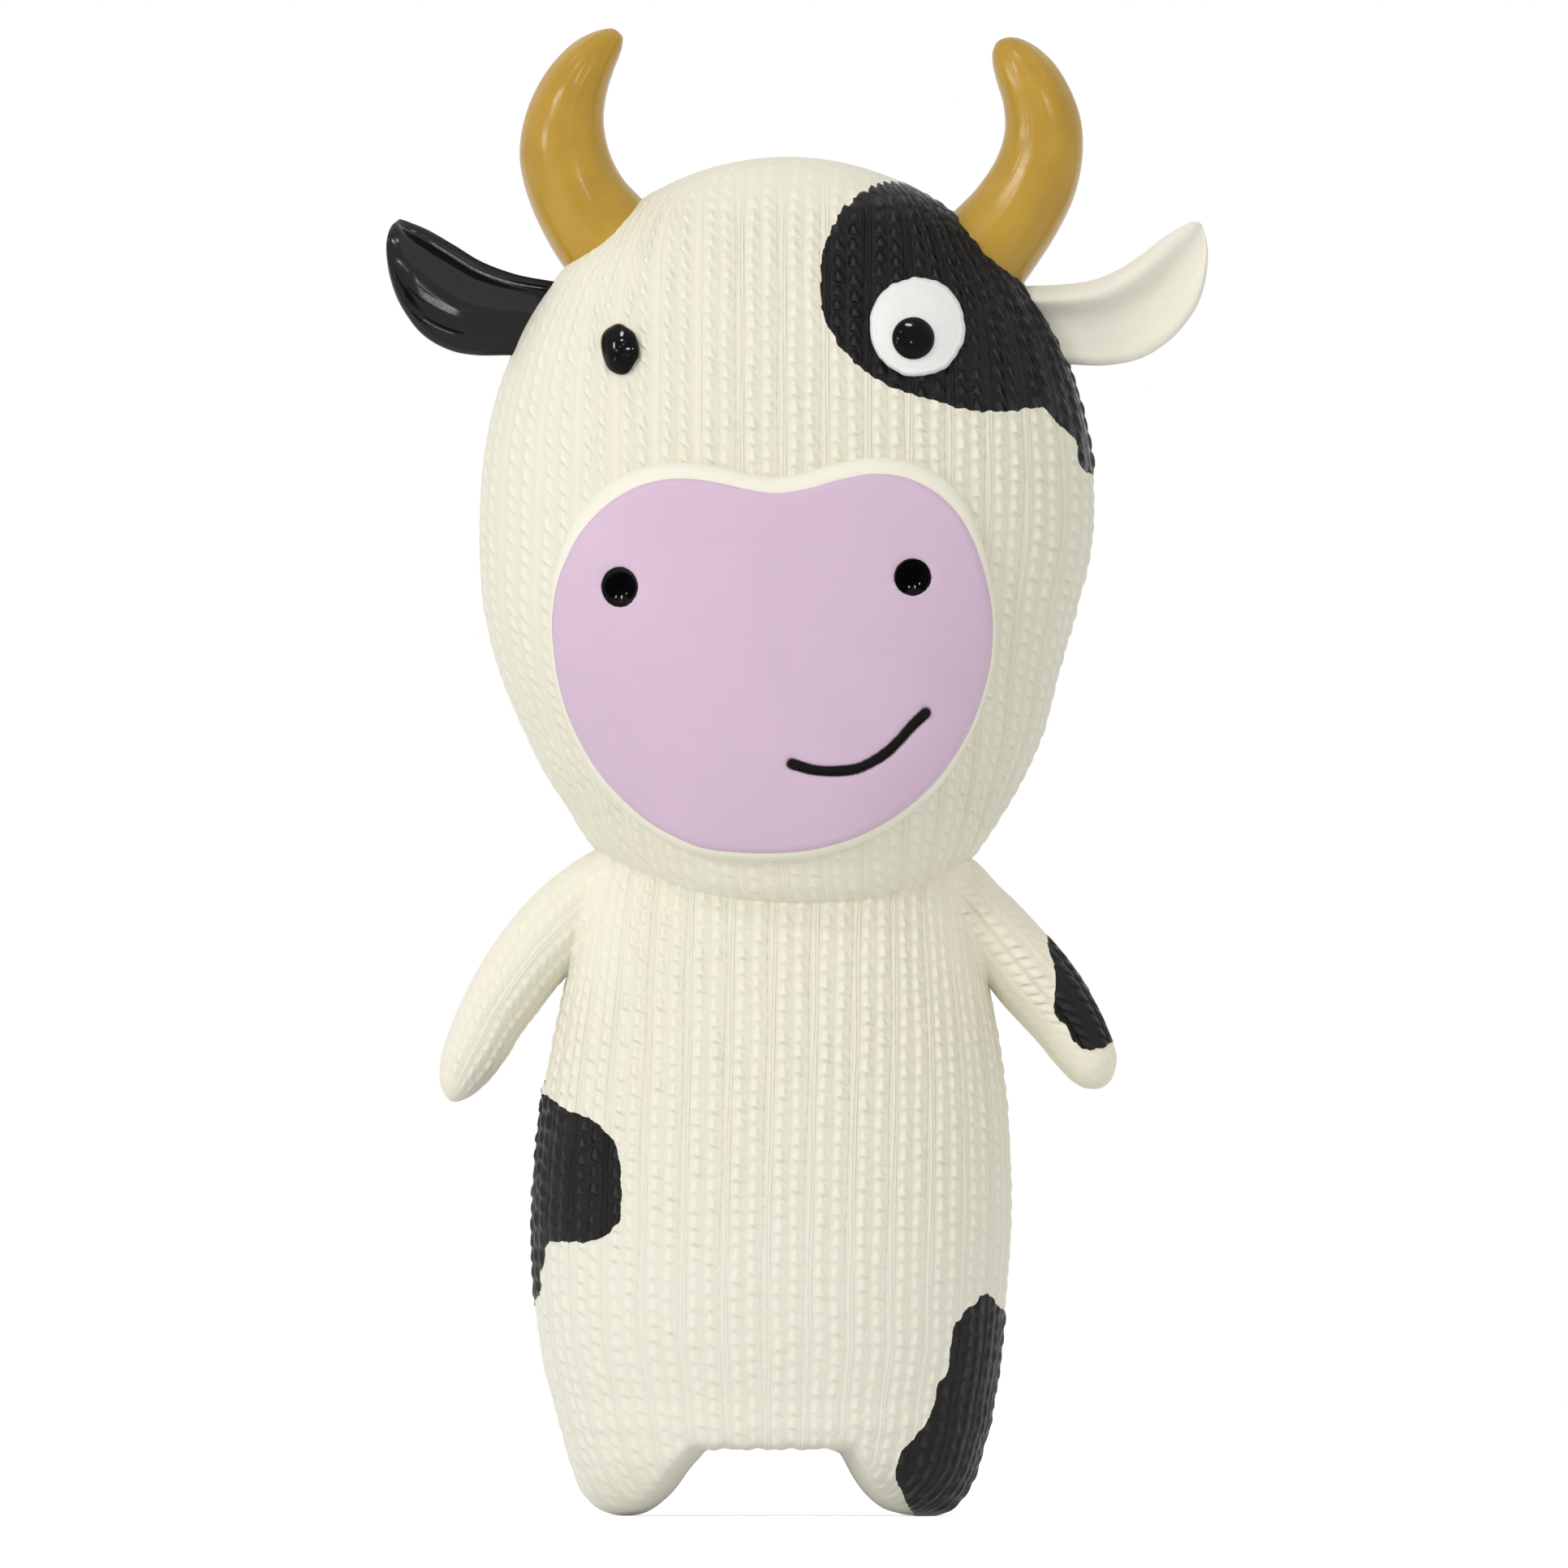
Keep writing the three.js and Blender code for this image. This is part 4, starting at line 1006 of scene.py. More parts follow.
def remeshed(item, voxel, smoothing):
    """Points, quads and triangles of an object's even, softened skin."""
    bpy.ops.object.select_all(action="DESELECT")
    item.select_set(True)
    bpy.context.view_layer.objects.active = item
    remesh = item.modifiers.new("even", "REMESH")
    remesh.mode = "VOXEL"
    remesh.voxel_size = voxel * MM
    soften = item.modifiers.new("soften", "SMOOTH")
    soften.factor = 0.5
    soften.iterations = smoothing
    for modifier in ("even", "soften"):
        bpy.ops.object.modifier_apply(modifier=modifier)
    mesh = item.data
    co = np.empty(len(mesh.vertices) * 3, np.float32)
    mesh.vertices.foreach_get("co", co)
    totals = np.empty(len(mesh.polygons), np.int32)
    mesh.polygons.foreach_get("loop_total", totals)
    corners = np.empty(len(mesh.loops), np.int32)
    mesh.loops.foreach_get("vertex_index", corners)
    starts = np.cumsum(totals) - totals
    quads = corners[starts[totals == 4][:, None] + np.arange(4)]
    tris = corners[starts[totals == 3][:, None] + np.arange(3)]
    return co.reshape(-1, 3) / MM - OFFSET, quads, tris.reshape(-1, 3)


class BuildBody(bpy.types.Operator):
    """Knitted body with its two legs and two black patches"""

    bl_idname = "toy.body"
    bl_label = "Body and legs"

    def execute(self, context):
        step, stitch = sizes().skin_step / MM, sizes().stitch / MM
        forms = [rough_form(BODY_ROWS, BODY_ROUNDNESS, 1.5),
                 leg_form(LEFT_LEG_ROWS), leg_form(RIGHT_LEG_ROWS)]
        points, quads, tris = merged_form("body", forms, step * 1.1, 6)
        profile = upright_profile(BODY_ROWS, 1.0)
        profile = profile[profile[:, 0] > 24]
        widest = profile[np.argmax(profile[:, 2])]
        angles, length = even_angles(*widest[2:], BODY_ROUNDNESS, 1.0)
        grid = section(profile, angles, BODY_ROUNDNESS)
        run = run_round(grid)
        side = np.array([np.interp(2 * math.pi, angles, r) for r in run])[:, None]
        part = np.clip(np.abs(run) / np.maximum(side, 1e-6), 0, 1)
        even = (length / 2) / np.maximum(run[:, [-1]], 1e-3)
        run = run * (1 + (even - 1) * step_up(0.3, 1.0, part))
        pairs = int(round(length / (sizes().pair / MM)))
        pair = length / pairs
        around = around_of(points, profile, BODY_ROUNDNESS, angles, run)
        x, y, z = points.T
        along = z.copy()
        z_safe = np.clip(z, profile[2, 0], profile[-3, 0])
        middle, width, _, _ = level_at(profile, z_safe)
        side_at = np.interp(z_safe, profile[:, 0], side[:, 0])
        beyond = np.maximum(np.abs(around) - side_at, 0)
        behind = y > 0
        flat_x = np.where(behind, middle + np.sign(x - middle) * (width + beyond), x)
        # The lower edge between the legs follows the cords
        wave = 0.10 * np.sin(2 * math.pi * x / CORD_LINE) + 0.12 * np.sin(1.3 * x + 1)
        points[:, 2] += wave * step_up(15, 10.8, z) * step_up(-15, -12.5, x) * step_up(10.5, 8, x)
        patch = np.maximum(
            patch_field(flat_x, z, around, along, pair, stitch, BODY_PATCH, 12),
            patch_field(flat_x, z, around, along, pair, stitch, LEG_PATCH, 13))
        patch = np.minimum(patch, 13 + np.sin(0.4 * z) - y)
        normals = normals_of(points, quads, tris)
        fade = 1 - 0.9 * step_up(-0.80, -0.97, normals[:, 2])
        fade = fade * (1 - 0.45 * step_up(70, 22, z))
        inwards = -normals[:, 0] * np.sign(x + 1.9)
        fade = fade * (1 - 0.9 * step_up(0.2, 0.6, inwards) * step_up(24, 14, z))
        for x0 in (-33, 30):
            fade = fade * (0.25 + 0.75 * step_up(4, 12, np.hypot(x - x0, 0.6 * (z - 94))))
        plug = np.hypot(x - SQUEAKER_X, z - PLUG_Z)
        fade = fade * np.where(behind, step_up(9.5, 11.5, plug), 1)
        points, values = skin_fields(points, normals, around, along, fade, patch, pair)
        sunk = np.where(behind, 0.9 * step_up(9.4, 8.4, plug), 0)
        points = points - normals * sunk[:, None]
        uv = corner_uv(quads, tris, around, along, pair, stitch, length)
        mesh = make_mesh("knit_body", points, quads, tris, uv, values)
        nodes = ("body_skin", "left_leg", "right_leg", "body_patch", "leg_patch")
        piece = add_piece("knit_body", mesh, "knit_rubber", nodes)
        return {"FINISHED"}


def limb_grid(edges, tip, step):
    """Outer edge, inner edge and middle of a limb at even steps, from pairs of edge points."""
    pairs = at(edges)
    last = at([tip])[0]
    rows = np.concatenate([pairs.reshape(len(pairs), 4), [np.tile(last, 2)]])
    beyond = rows[-2].reshape(2, 2)[::-1].ravel()
    smooth = hermite(np.concatenate([rows, [beyond]]), 40)[:-40]
    middle = (smooth[:, :2] + smooth[:, 2:]) / 2
    table = np.concatenate([smooth, middle], 1)
    spread = np.linalg.norm(smooth[:, :2] - smooth[:, 2:], axis=1)
    table = np.concatenate([table, spread[:, None] / 2], 1)
    even = evenly(table, step, [4, 5, 6])
    return even[:, :2], even[:, 2:4], even[:, 4:6]


def limb_piece(edges, tip, step, columns, shape):
    """Closed form between two edges; shape gives the depth of a section at its angles."""
    outer, inner, middle = limb_grid(edges, tip, step)
    length = run_along(middle)
    angles = np.linspace(0, 2 * math.pi, columns, endpoint=False)
    half = (outer - inner) / 2
    size = np.linalg.norm(half, axis=1)
    place = length / length[-1]
    across = np.cos(angles)
    y = shape(place[:, None], angles[None], size[:, None])
    x = middle[:, :1] + half[:, :1] * across
    z = middle[:, 1:] + half[:, 1:] * across
    grid = np.stack([x, y, z], -1)
    start = np.array([middle[0, 0], 0, middle[0, 1]])
    end = np.array([middle[-1, 0], float(y[-1].mean()), middle[-1, 1]])
    rows = grid[:-1]
    points = np.concatenate([rows.reshape(-1, 3), [start, end]])
    quads, tris = ring_faces(len(rows), columns)
    gaps = np.linalg.norm(grid - np.roll(grid, 1, axis=1), axis=2)
    round_run = np.cumsum(gaps, 1) - gaps[:, :1]
    whole = gaps.sum(1)
    return points, quads, tris, place[:-1], length[:-1], round_run[:-1], whole[:-1]


def root_blend(points, softness):
    """Arm points pushed out or in near the body, so that the arm's skin flows into the body's."""
    body = upright_profile(BODY_ROWS, 1.0)
    x, y, z = points.T
    middle, width, front, back = level_at(body, z)
    side = np.clip(np.abs(x - middle) / width, 0, 1)
    skin = np.where(y < 0, front, back) * bulge(side, BODY_ROUNDNESS)
    own = np.abs(y)
    overlap = np.clip(softness - np.abs(own - skin), 0, None)
    joined = np.maximum(own, skin) + overlap**2 / (4 * softness)
    joined = joined - 0.6 * step_up(0.4 * softness, 1.0 * softness, skin - own)
    inner = side < 1
    return np.stack([x, np.where(inner, np.sign(y) * joined, y), z], 1)


# Pairs of cords round an arm
ARM_PAIRS = 6


class BuildArms(bpy.types.Operator):
    """Two knitted arms, one with a black patch"""

    bl_idname = "toy.arms"
    bl_label = "Arms"

    def execute(self, context):
        step, stitch = sizes().skin_step / MM * 0.9, sizes().stitch / MM
        columns = 96
        circle = np.linspace(0, 2 * math.pi, columns, endpoint=False)

        def shape(place, angles, size):
            return -np.sin(angles) * size * (1.22 - 0.16 * place)

        for name, edges, tip, closer, lean in (
                ("left", LEFT_ARM_EDGES, LEFT_ARM_TIP, 1.25, 0.14),
                ("right", RIGHT_ARM_EDGES, RIGHT_ARM_TIP, 1.24, -0.46)):
            points, quads, tris, place, length, run, whole = limb_piece(
                edges, tip, step, columns, shape)
            rows = len(place)
            full = whole[rows // 3]
            pair = full / ARM_PAIRS
            # The line between two cords, or a gutter, runs down the middle of the front
            centred = GUTTER + 0.6 if name == "left" else CORD_LINE
            around = run / whole[:, None] * full + (centred / PAIR - 0.25 * ARM_PAIRS % 1) * pair
            along = np.repeat(-closer * length[:, None], columns, 1)
            around, along, part, across = (with_ends(a) for a in (
                around, along, np.repeat(place[:, None], columns, 1),
                np.tile(np.cos(circle), (rows, 1))))
            normals = normals_of(points, quads, tris)
            points = root_blend(points, 4.0)
            x, y, z = points.T
            patch = np.full(len(points), -3.0)
            fade = step_up(1.0, 0.85, part) * step_up(0.12, 0.26, part)
            fade = fade * step_up(0.95, 0.5, across) * 0.6
            if name == "right":
                flat_x = np.where(y > 0, x + 0.6 * y, x)
                patch = patch_field(flat_x, z, around, along, pair, stitch, ARM_PATCH, 14)
                patch = np.minimum(patch, 4.6 - 0.03 * (z - 78) ** 2 - y)
                fade = step_up(0.85, 0.60, part) * step_up(0.12, 0.24, part)
                fade = 0.9 * (fade * step_up(0.9, 0.5, across)) * step_up(-0.75, -0.40, across)
                fade = np.maximum(fade, 0.8 * step_up(-0.2, 0.4, patch))
            fade = np.maximum(0.12, fade)
            points, values = skin_fields(points, normals, around, along, fade, patch, pair, lean)
            uv = corner_uv(quads, tris, around, along, pair, stitch, full)
            mesh = make_mesh(f"knit_{name}_arm", points, quads, tris, uv, values)
            nodes = (f"{name}_arm",) + (("arm_patch",) if name == "right" else ())
            piece = add_piece(f"knit_{name}_arm", mesh, "knit_rubber", nodes)
        return {"FINISHED"}


class BuildHorns(bpy.types.Operator):
    """Two curved horns"""

    bl_idname = "toy.horns"
    bl_label = "Horns"

    def execute(self, context):
        columns, full = 96, 48.0

        def shape(place, angles, size):
            return -np.sin(angles) * size * (1 + 0.02 * np.cos(4 * angles + 3 * place))

        for name, edges, tip in (("left", LEFT_HORN_EDGES, LEFT_HORN_TIP),
                                 ("right", RIGHT_HORN_EDGES, RIGHT_HORN_TIP)):
            points, quads, tris, _, length, run, whole = limb_piece(edges, tip, 0.5, columns, shape)
            around = with_ends(run / whole[:, None] * full)
            along = with_ends(np.repeat(length[:, None], columns, 1))
            uv = corner_uv(quads, tris, around, along, 1.0, 1.0, full)
            mesh = make_mesh(f"{name}_horn_form", points, quads, tris, uv)
            add_piece(f"{name}_horn_form", mesh, "horn_rubber", (f"{name}_horn",))
        return {"FINISHED"}


class BuildEars(bpy.types.Operator):
    """Two hollowed ears with rolled rims, one black and one cream"""

    bl_idname = "toy.ears"
    bl_label = "Ears"

    def execute(self, context):
        for name, edges, tip, material, slot in (
                ("left", LEFT_EAR_EDGES, LEFT_EAR_TIP, "black_rubber", "latex_black"),
                ("right", RIGHT_EAR_EDGES, RIGHT_EAR_TIP, "ear_rubber", "latex_cream_smooth")):
            rolls, deep, middle, forward, strips = EAR_FORMS[name]

            def front(across, place):
                bowl = step_up(0.05, 0.55, place) * 0.6 + 0.4
                bowl = bowl * (1 - 0.5 * step_up(0.75, 1.0, place))
                hollow = np.clip(1 - ((across - middle) / 0.92) ** 2, 0, 1) ** 1.2
                depth = 1.0 - deep * bowl * hollow
                for where, half, root, tip_rise in rolls:
                    rise = root + (tip_rise - root) * step_up(0.35, 0.95, place)
                    depth = depth + rise * np.exp(-(((across - where) / half) ** 2))
                return depth + forward * place * (2.5 - 1.5 * place)

            def shape(place, angles, size):
                across = np.cos(angles)
                small = np.minimum(1, size / 6.5)
                depth = front(across, place)
                thick = 1.6 * (1 - np.abs(across) ** 2.2) ** 0.5
                return np.where(np.sin(angles) > 0, -depth - thick, thick * 1.3 - depth) * small

            columns = 320
            points, quads, tris, place, *_ = limb_piece(edges, tip, 0.4, columns, shape)
            circle = np.linspace(0, 2 * math.pi, columns, endpoint=False)
            rows = points[:-2].reshape(len(place), columns, 3)
            # The front of a strip lies in one plane, so that light catches it as a clean line
            for first, last, half, start, stop in strips:
                line = first + (last - first) * np.clip((place - start) / (stop - start), 0, 1)
                off = np.where(np.sin(circle) > 0, np.abs(np.cos(circle) - line[:, None]), 9.0)
                row = int((start + stop) / 2 * len(place))
                x, y, z = rows[row, off[row].argmin()]
                flat = y - EAR_SLOPE[0] * (rows[..., 0] - x) - EAR_SLOPE[1] * (rows[..., 2] - z)
                share = step_up(start, start + 0.1, place) * step_up(stop, stop - 0.1, place)
                share = share[:, None] * step_up(half + 0.06, half, off)
                rows[..., 1] += (flat - rows[..., 1]) * share
            mesh = make_mesh(f"{name}_ear_form", points, quads, tris)
            add_piece(f"{name}_ear_form", mesh, material, (f"{name}_ear",))
        return {"FINISHED"}


# Nostrils: place in the picture, half width and half height
NOSTRILS = (("left", (764, 724), 2.8, 3.1), ("right", (1124, 712), 2.85, 2.85))
# The lilac face: its height over the head, the radius of its edge, its rings and its columns
PAD_HEIGHT = 3.4
FACE_ROUND = 1.1
FACE_RINGS = 112
FACE_COLUMNS = 520


def muzzle_height(edge):
    """Height of the lilac face over the head, from the distance to its edge."""
    drop = FACE_ROUND - np.sqrt(np.clip(FACE_ROUND**2 - (FACE_ROUND - edge).clip(0) ** 2, 0, None))
    return PAD_HEIGHT - drop


def shell(top, low, top_middle, low_middle):
    """A closed disc from its upper and lower rings and their middles."""
    grid = np.concatenate([top, low[::-1]])
    points = np.concatenate([grid.reshape(-1, 3), [top_middle, low_middle]])
    quads, tris = ring_faces(*grid.shape[:2])
    return points, quads, tris


class BuildMuzzle(bpy.types.Operator):
    """Cream muzzle pad and its lilac face"""

    bl_idname = "toy.muzzle"
    bl_label = "Muzzle"

    def execute(self, context):
        rim = closed_curve(at(MUZZLE_OUTLINE), FACE_COLUMNS)
        centre = at([(953, 815)])[0]
        share = np.linspace(0, 1, FACE_RINGS + 1)[1:, None]
        x, z = (centre[i] + share * (rim[:, i] - centre[i]) for i in (0, 1))
        edge = (1 - share) * np.linalg.norm(rim - centre, axis=1)
        height = muzzle_height(edge)
        for _, spot, rx, rz in NOSTRILS:
            sx, sz = at([spot])[0]
            reach = np.hypot((x - sx) / rx, (z - sz) / rz)
            height = height - 3.6 * np.sqrt(np.clip(1 - (reach / 0.94) ** 2, 0, 1))
            height = height - 0.20 * np.exp(-((reach - 1.0) / 0.22) ** 2)
            lip = 0.22 * np.exp(-((reach - 1.10) / 0.09) ** 2)
            height = height + lip * step_up(0.1, -0.7, (z - sz) / rz)
        line = hermite(at(MOUTH_POINTS), 10)
        away = np.full(x.shape, 1e9)
        for a, b in zip(line[:-1], line[1:]):
            away = np.minimum(away, to_segment(x, z, a, b))
        height = height - 1.15 * step_up(0.80, 0.45, away) - 0.10 * step_up(1.7, 0.8, away)
        skin = face_depth(x, z)
        top = np.stack([x, -(skin + height), z], -1)
        # The hidden side needs only every eighth ring
        low = np.stack([x, 1.2 - skin, z], -1)[7::8]
        cx, cz = centre
        depth = float(face_depth(cx, cz))
        points, quads, tris = shell(top, low, (cx, -(depth + PAD_HEIGHT), cz),
                                    (cx, -(depth - 1.2), cz))
        mesh = make_mesh("muzzle_front", points, quads, tris)
        add_piece("muzzle_front", mesh, "lilac_rubber", ("muzzle_face",))
        self.rim(rim, centre)
        return {"FINISHED"}

    def rim(self, rim, centre):
        """The cream pad round the face, a rounded slope down to the head."""
        tangent = np.roll(rim, -1, axis=0) - np.roll(rim, 1, axis=0)
        tangent /= np.linalg.norm(tangent, axis=1, keepdims=True)
        outward = np.stack([tangent[:, 1], -tangent[:, 0]], 1)
        if ((rim - centre) * outward).sum() < 0:
            outward = -outward
        width = 0.45 + 2.0 * step_up(0.1, 0.9, outward[:, 1])
        width = width + 0.65 * step_up(0.3, 0.95, -outward[:, 1])
        for _ in range(30):
            width = (np.roll(width, 1) + width + np.roll(width, -1)) / 3
        rows = []
        for share in np.linspace(-0.35, 1.12, 22):
            turn = np.clip(share, 0, 1) * math.pi / 2
            out = width * (math.sin(turn) if share > 0 else share * 0.6)
            place = rim + outward * out[:, None]
            rise = (PAD_HEIGHT - 0.75) * max(0.0, math.cos(turn)) ** 0.8
            if share > 1:
                rise -= (share - 1) * 8
            if share < 0:
                rise = PAD_HEIGHT - 0.75
            x, z = place.T
            rows.append(np.stack([x, -(face_depth(x, z) + rise), z], -1))
        for x, _, z in (rows[-1].T, rows[0].T):
            rows.append(np.stack([x, -(face_depth(x, z) - 1.8), z], -1))
        ring = np.array(rows)
        mesh = make_mesh("muzzle_rim", ring.reshape(-1, 3), tube_faces(*ring.shape[:2]), [])
        add_piece("muzzle_rim", mesh, "cream_rubber", ("muzzle_pad",))


# Slope of a small flat place that shows the upper lamp to someone in front: to the right and up
GLINT_SLOPE = (0.196, -0.494)


def button(name, spot, rx, rz, dome, base, material, nodes, slot, *, rings, columns, lumps, seed,
           sink=1.0, waves=8, glints=()):
    """A round piece that follows the surface below; dome gives its height from middle to edge."""
    draw = np.random.default_rng(seed)
    cx, cz = at([spot])[0]
    angle = np.linspace(0, 2 * math.pi, columns, endpoint=False)
    wave = sum(draw.uniform(-1, 1) * np.sin(k * angle + draw.uniform(0, 6.3)) / k**0.75
               for k in range(2, waves + 1))
    swell = 1 + lumps * wave
    share = np.sin(np.linspace(0, math.pi / 2, rings + 1))[1:, None]
    x = cx + rx * share * np.cos(angle) * swell
    z = cz + rz * share * np.sin(angle) * swell
    height = base(x, z) + dome(share + 0 * x, x - cx, z - cz)
    for gx, gz, half_x, half_z in glints:
        right, up = x - cx - gx, z - cz - gz
        own = np.array([math.hypot(gx / rx, gz / rz)])
        flat = float(base(cx + gx, cz + gz)) + float(dome(own, np.array([gx]), np.array([gz]))[0])
        flat = flat + GLINT_SLOPE[0] * right + GLINT_SLOPE[1] * up
        height += (flat - height) * step_up(1.5, 0.95, np.hypot(right / half_x, up / half_z))
    top = np.stack([x, -height, z], -1)
    low = np.stack([x, -(base(x, z) - sink), z], -1)
    middle = np.array([0.0])
    peak = float(dome(middle, middle, middle)[0])
    depth = float(base(cx, cz))
    points, quads, tris = shell(top, low, (cx, -(depth + peak), cz), (cx, -(depth - sink), cz))
    mesh = make_mesh(name, points, quads, tris)
    return add_piece(name, mesh, material, nodes)


def white_dome(share, x=0, z=0):
    """A nearly flat disc with a thin raised lip."""
    lip = 0.20 * np.exp(-(((share - 0.93) / 0.045) ** 2))
    return 0.35 + 1.0 * np.sqrt(np.clip(1 - share**9, 0, 1)) + 0.8 * (1 - share**2) + lip


def bead_dome(share, x, z):
    """A drop of enamel with a few soft lumps."""
    lumps = 0.28 * np.sin(1.25 * x + 0.4) * np.sin(1.0 * z - 0.4) + 0.10 * np.sin(1.9 * z + 0.8 * x)
    return 2.2 * np.sqrt(np.clip(1 - share**2.6, 0, 1)) + lumps * (1 - share**2)


# The white disc of the round eye: place in the picture, half width and half height
DISC = ((1130, 404), 7.4, 7.7)


class BuildEyes(bpy.types.Operator):
    """A black bead eye, and a white disc eye with a black pupil"""

    bl_idname = "toy.eyes"
    bl_label = "Eyes"

    def execute(self, context):
        button("bead_eye", (764, 431), 2.95, 3.9, bead_dome, face_depth, "jet_enamel",
               ("left_eye",), "enamel_black", lumps=0.07, seed=4, rings=72, columns=144, glints=(
                   (0.33, 2.35, 0.34, 0.5), (0.33, 1.35, 0.3, 0.2), (-0.87, 0.55, 0.22, 0.6),
                   (1.3, 0.0, 0.36, 0.26), (2.0, 0.0, 0.15, 0.26), (0.95, -0.95, 0.3, 0.12)))
        button("disc_eye", *DISC, white_dome, face_depth, "white_enamel", ("right_eye_white",),
               "enamel_white", rings=40, columns=240, lumps=0.022, seed=6, waves=30)

        def on_disc(x, z):
            spot, rx, rz = DISC
            ex, ez = at([spot])[0]
            share = np.clip(np.hypot((x - ex) / rx, (z - ez) / rz), 0, 1)
            return face_depth(x, z) + white_dome(share)

        button("disc_pupil", (1125, 418), 3.28, 3.28,
               lambda s, x, z: 1.5 * np.sqrt(np.clip(1 - s**2.2, 0, 1)), on_disc, "jet_enamel",
               ("right_eye_pupil",), "enamel_black", lumps=0.01, sink=0.3, seed=8, rings=72,
               columns=128, glints=((-0.72, 2.05, 0.72, 0.30),))
        return {"FINISHED"}


class BuildNostrils(bpy.types.Operator):
    """Two cupped nostrils and the line of the mouth"""

    bl_idname = "toy.nostrils"
    bl_label = "Nostrils and mouth"

    def execute(self, context):
        def on_face(x, z):
            return face_depth(x, z) + PAD_HEIGHT

        def cup(share, x, z):
            drop = 0.75 * np.exp(-((x - 0.1) ** 2 / 0.35 + (z + 1.5) ** 2 / 0.8))
            hollow = drop - 3.0 * (1 - share)
            return hollow - 0.14 * step_up(0.975, 1.0, share)

        for name, spot, rx, rz in NOSTRILS:
            button(f"{name}_nostril_cup", spot, rx, rz, cup, on_face, "jet_enamel",
                   (f"{name}_nostril",), "enamel_black", lumps=0.008, sink=4.0, seed=len(name),
                   rings=56, columns=128, glints=(
                       (-0.55, -1.5, 0.2, 0.3), (0.35, -1.55, 0.2, 0.4), (1.05, -1.0, 0.16, 0.26)))
        self.mouth(on_face)
        return {"FINISHED"}

    def mouth(self, base):
        """A rounded groove painted black, along a curve."""
        line = evenly(hermite(at(MOUTH_POINTS), 16), 0.2, [0, 1])
        first, last = ((line[i] - line[j]) * 2.5 for i, j in ((0, 1), (-1, -2)))
        line = evenly(np.concatenate([[line[0] + first], line, [line[-1] + last]]), 0.2, [0, 1])
        way = np.gradient(line, axis=0)
        way /= np.linalg.norm(way, axis=1, keepdims=True)
        side = np.stack([-way[:, 1], way[:, 0]], 1)
        length = run_along(line)
        to_end = np.minimum(length, length[-1] - length)
        half = 0.68 + 0.14 * np.exp(-to_end / 1.2) + 0.05 * np.sin(length * 0.9)
        half = half * np.sqrt(np.clip(1 - (1 - np.clip(to_end / 0.8, 0, 1)) ** 2, 0.0025, 1))
        angles = np.linspace(0, 2 * math.pi, 20, endpoint=False)
        across, deep = np.cos(angles), np.sin(angles)
        flat = line[:, None] + side[:, None] * (half[:, None] * across)[..., None]
        x, z = flat[..., 0], flat[..., 1]
        ends = step_up(1.4, 0.4, to_end)[:, None]
        scoop = np.where(deep > 0, 0.06 + 0.25 * ends - (0.28 - 0.3 * ends) * (1 - across**2),
                         -1.0 + 0.35 * across**2)
        grid = np.stack([x, -(base(x, z) + scoop), z], -1)
        ends = grid[[0, -1]].mean(1)
        points = np.concatenate([grid.reshape(-1, 3), ends])
        quads, tris = ring_faces(len(line), len(angles))
        mesh = make_mesh("mouth_groove", points, quads, tris)
        add_piece("mouth_groove", mesh, "jet_enamel", ("mouth_line",))


class BuildPlug(bpy.types.Operator):
    """Round rubber plug in the back"""

    bl_idname = "toy.plug"
    bl_label = "Back plug"

    def execute(self, context):
        profile = upright_profile(BODY_ROWS, 0.5)
        angle = np.linspace(0, 2 * math.pi, 120, endpoint=False)
        shares = np.concatenate([np.linspace(0.04, 0.80, 16), np.linspace(0.82, 1.0, 14)])

        def back_depth(x, z):
            middle, width, _, back = level_at(profile, z)
            side = np.clip(np.abs(x - middle) / width, 0, 0.99)
            return back * bulge(side, BODY_ROUNDNESS)

        x = SQUEAKER_X + PLUG_RADIUS * shares[:, None] * np.cos(angle)
        z = PLUG_Z + PLUG_RADIUS * shares[:, None] * np.sin(angle)
        edge = (1 - shares[:, None]) * PLUG_RADIUS
        rise = 0.35 - (0.9 - np.sqrt(np.clip(0.81 - (0.9 - edge).clip(0) ** 2, 0, None)))
        rise = rise - 0.35 * np.exp(-((shares[:, None] - 0.62) / 0.05) ** 2)
        top = np.stack([x, back_depth(x, z) + rise, z], -1)
        low = np.stack([x, back_depth(x, z) - 2.0, z], -1)
        depth = float(back_depth(SQUEAKER_X, PLUG_Z))
        points, quads, tris = shell(top, low, (SQUEAKER_X, depth + 0.35, PLUG_Z),
                                    (SQUEAKER_X, depth - 2, PLUG_Z))
        mesh = make_mesh("back_plug_form", points, quads, tris)
        add_piece("back_plug_form", mesh, "cream_rubber", ("back_plug",))
        return {"FINISHED"}


# Distance in millimetres that the fibre keeps from the outside of the skin
FIBRE_GAP = 1.4


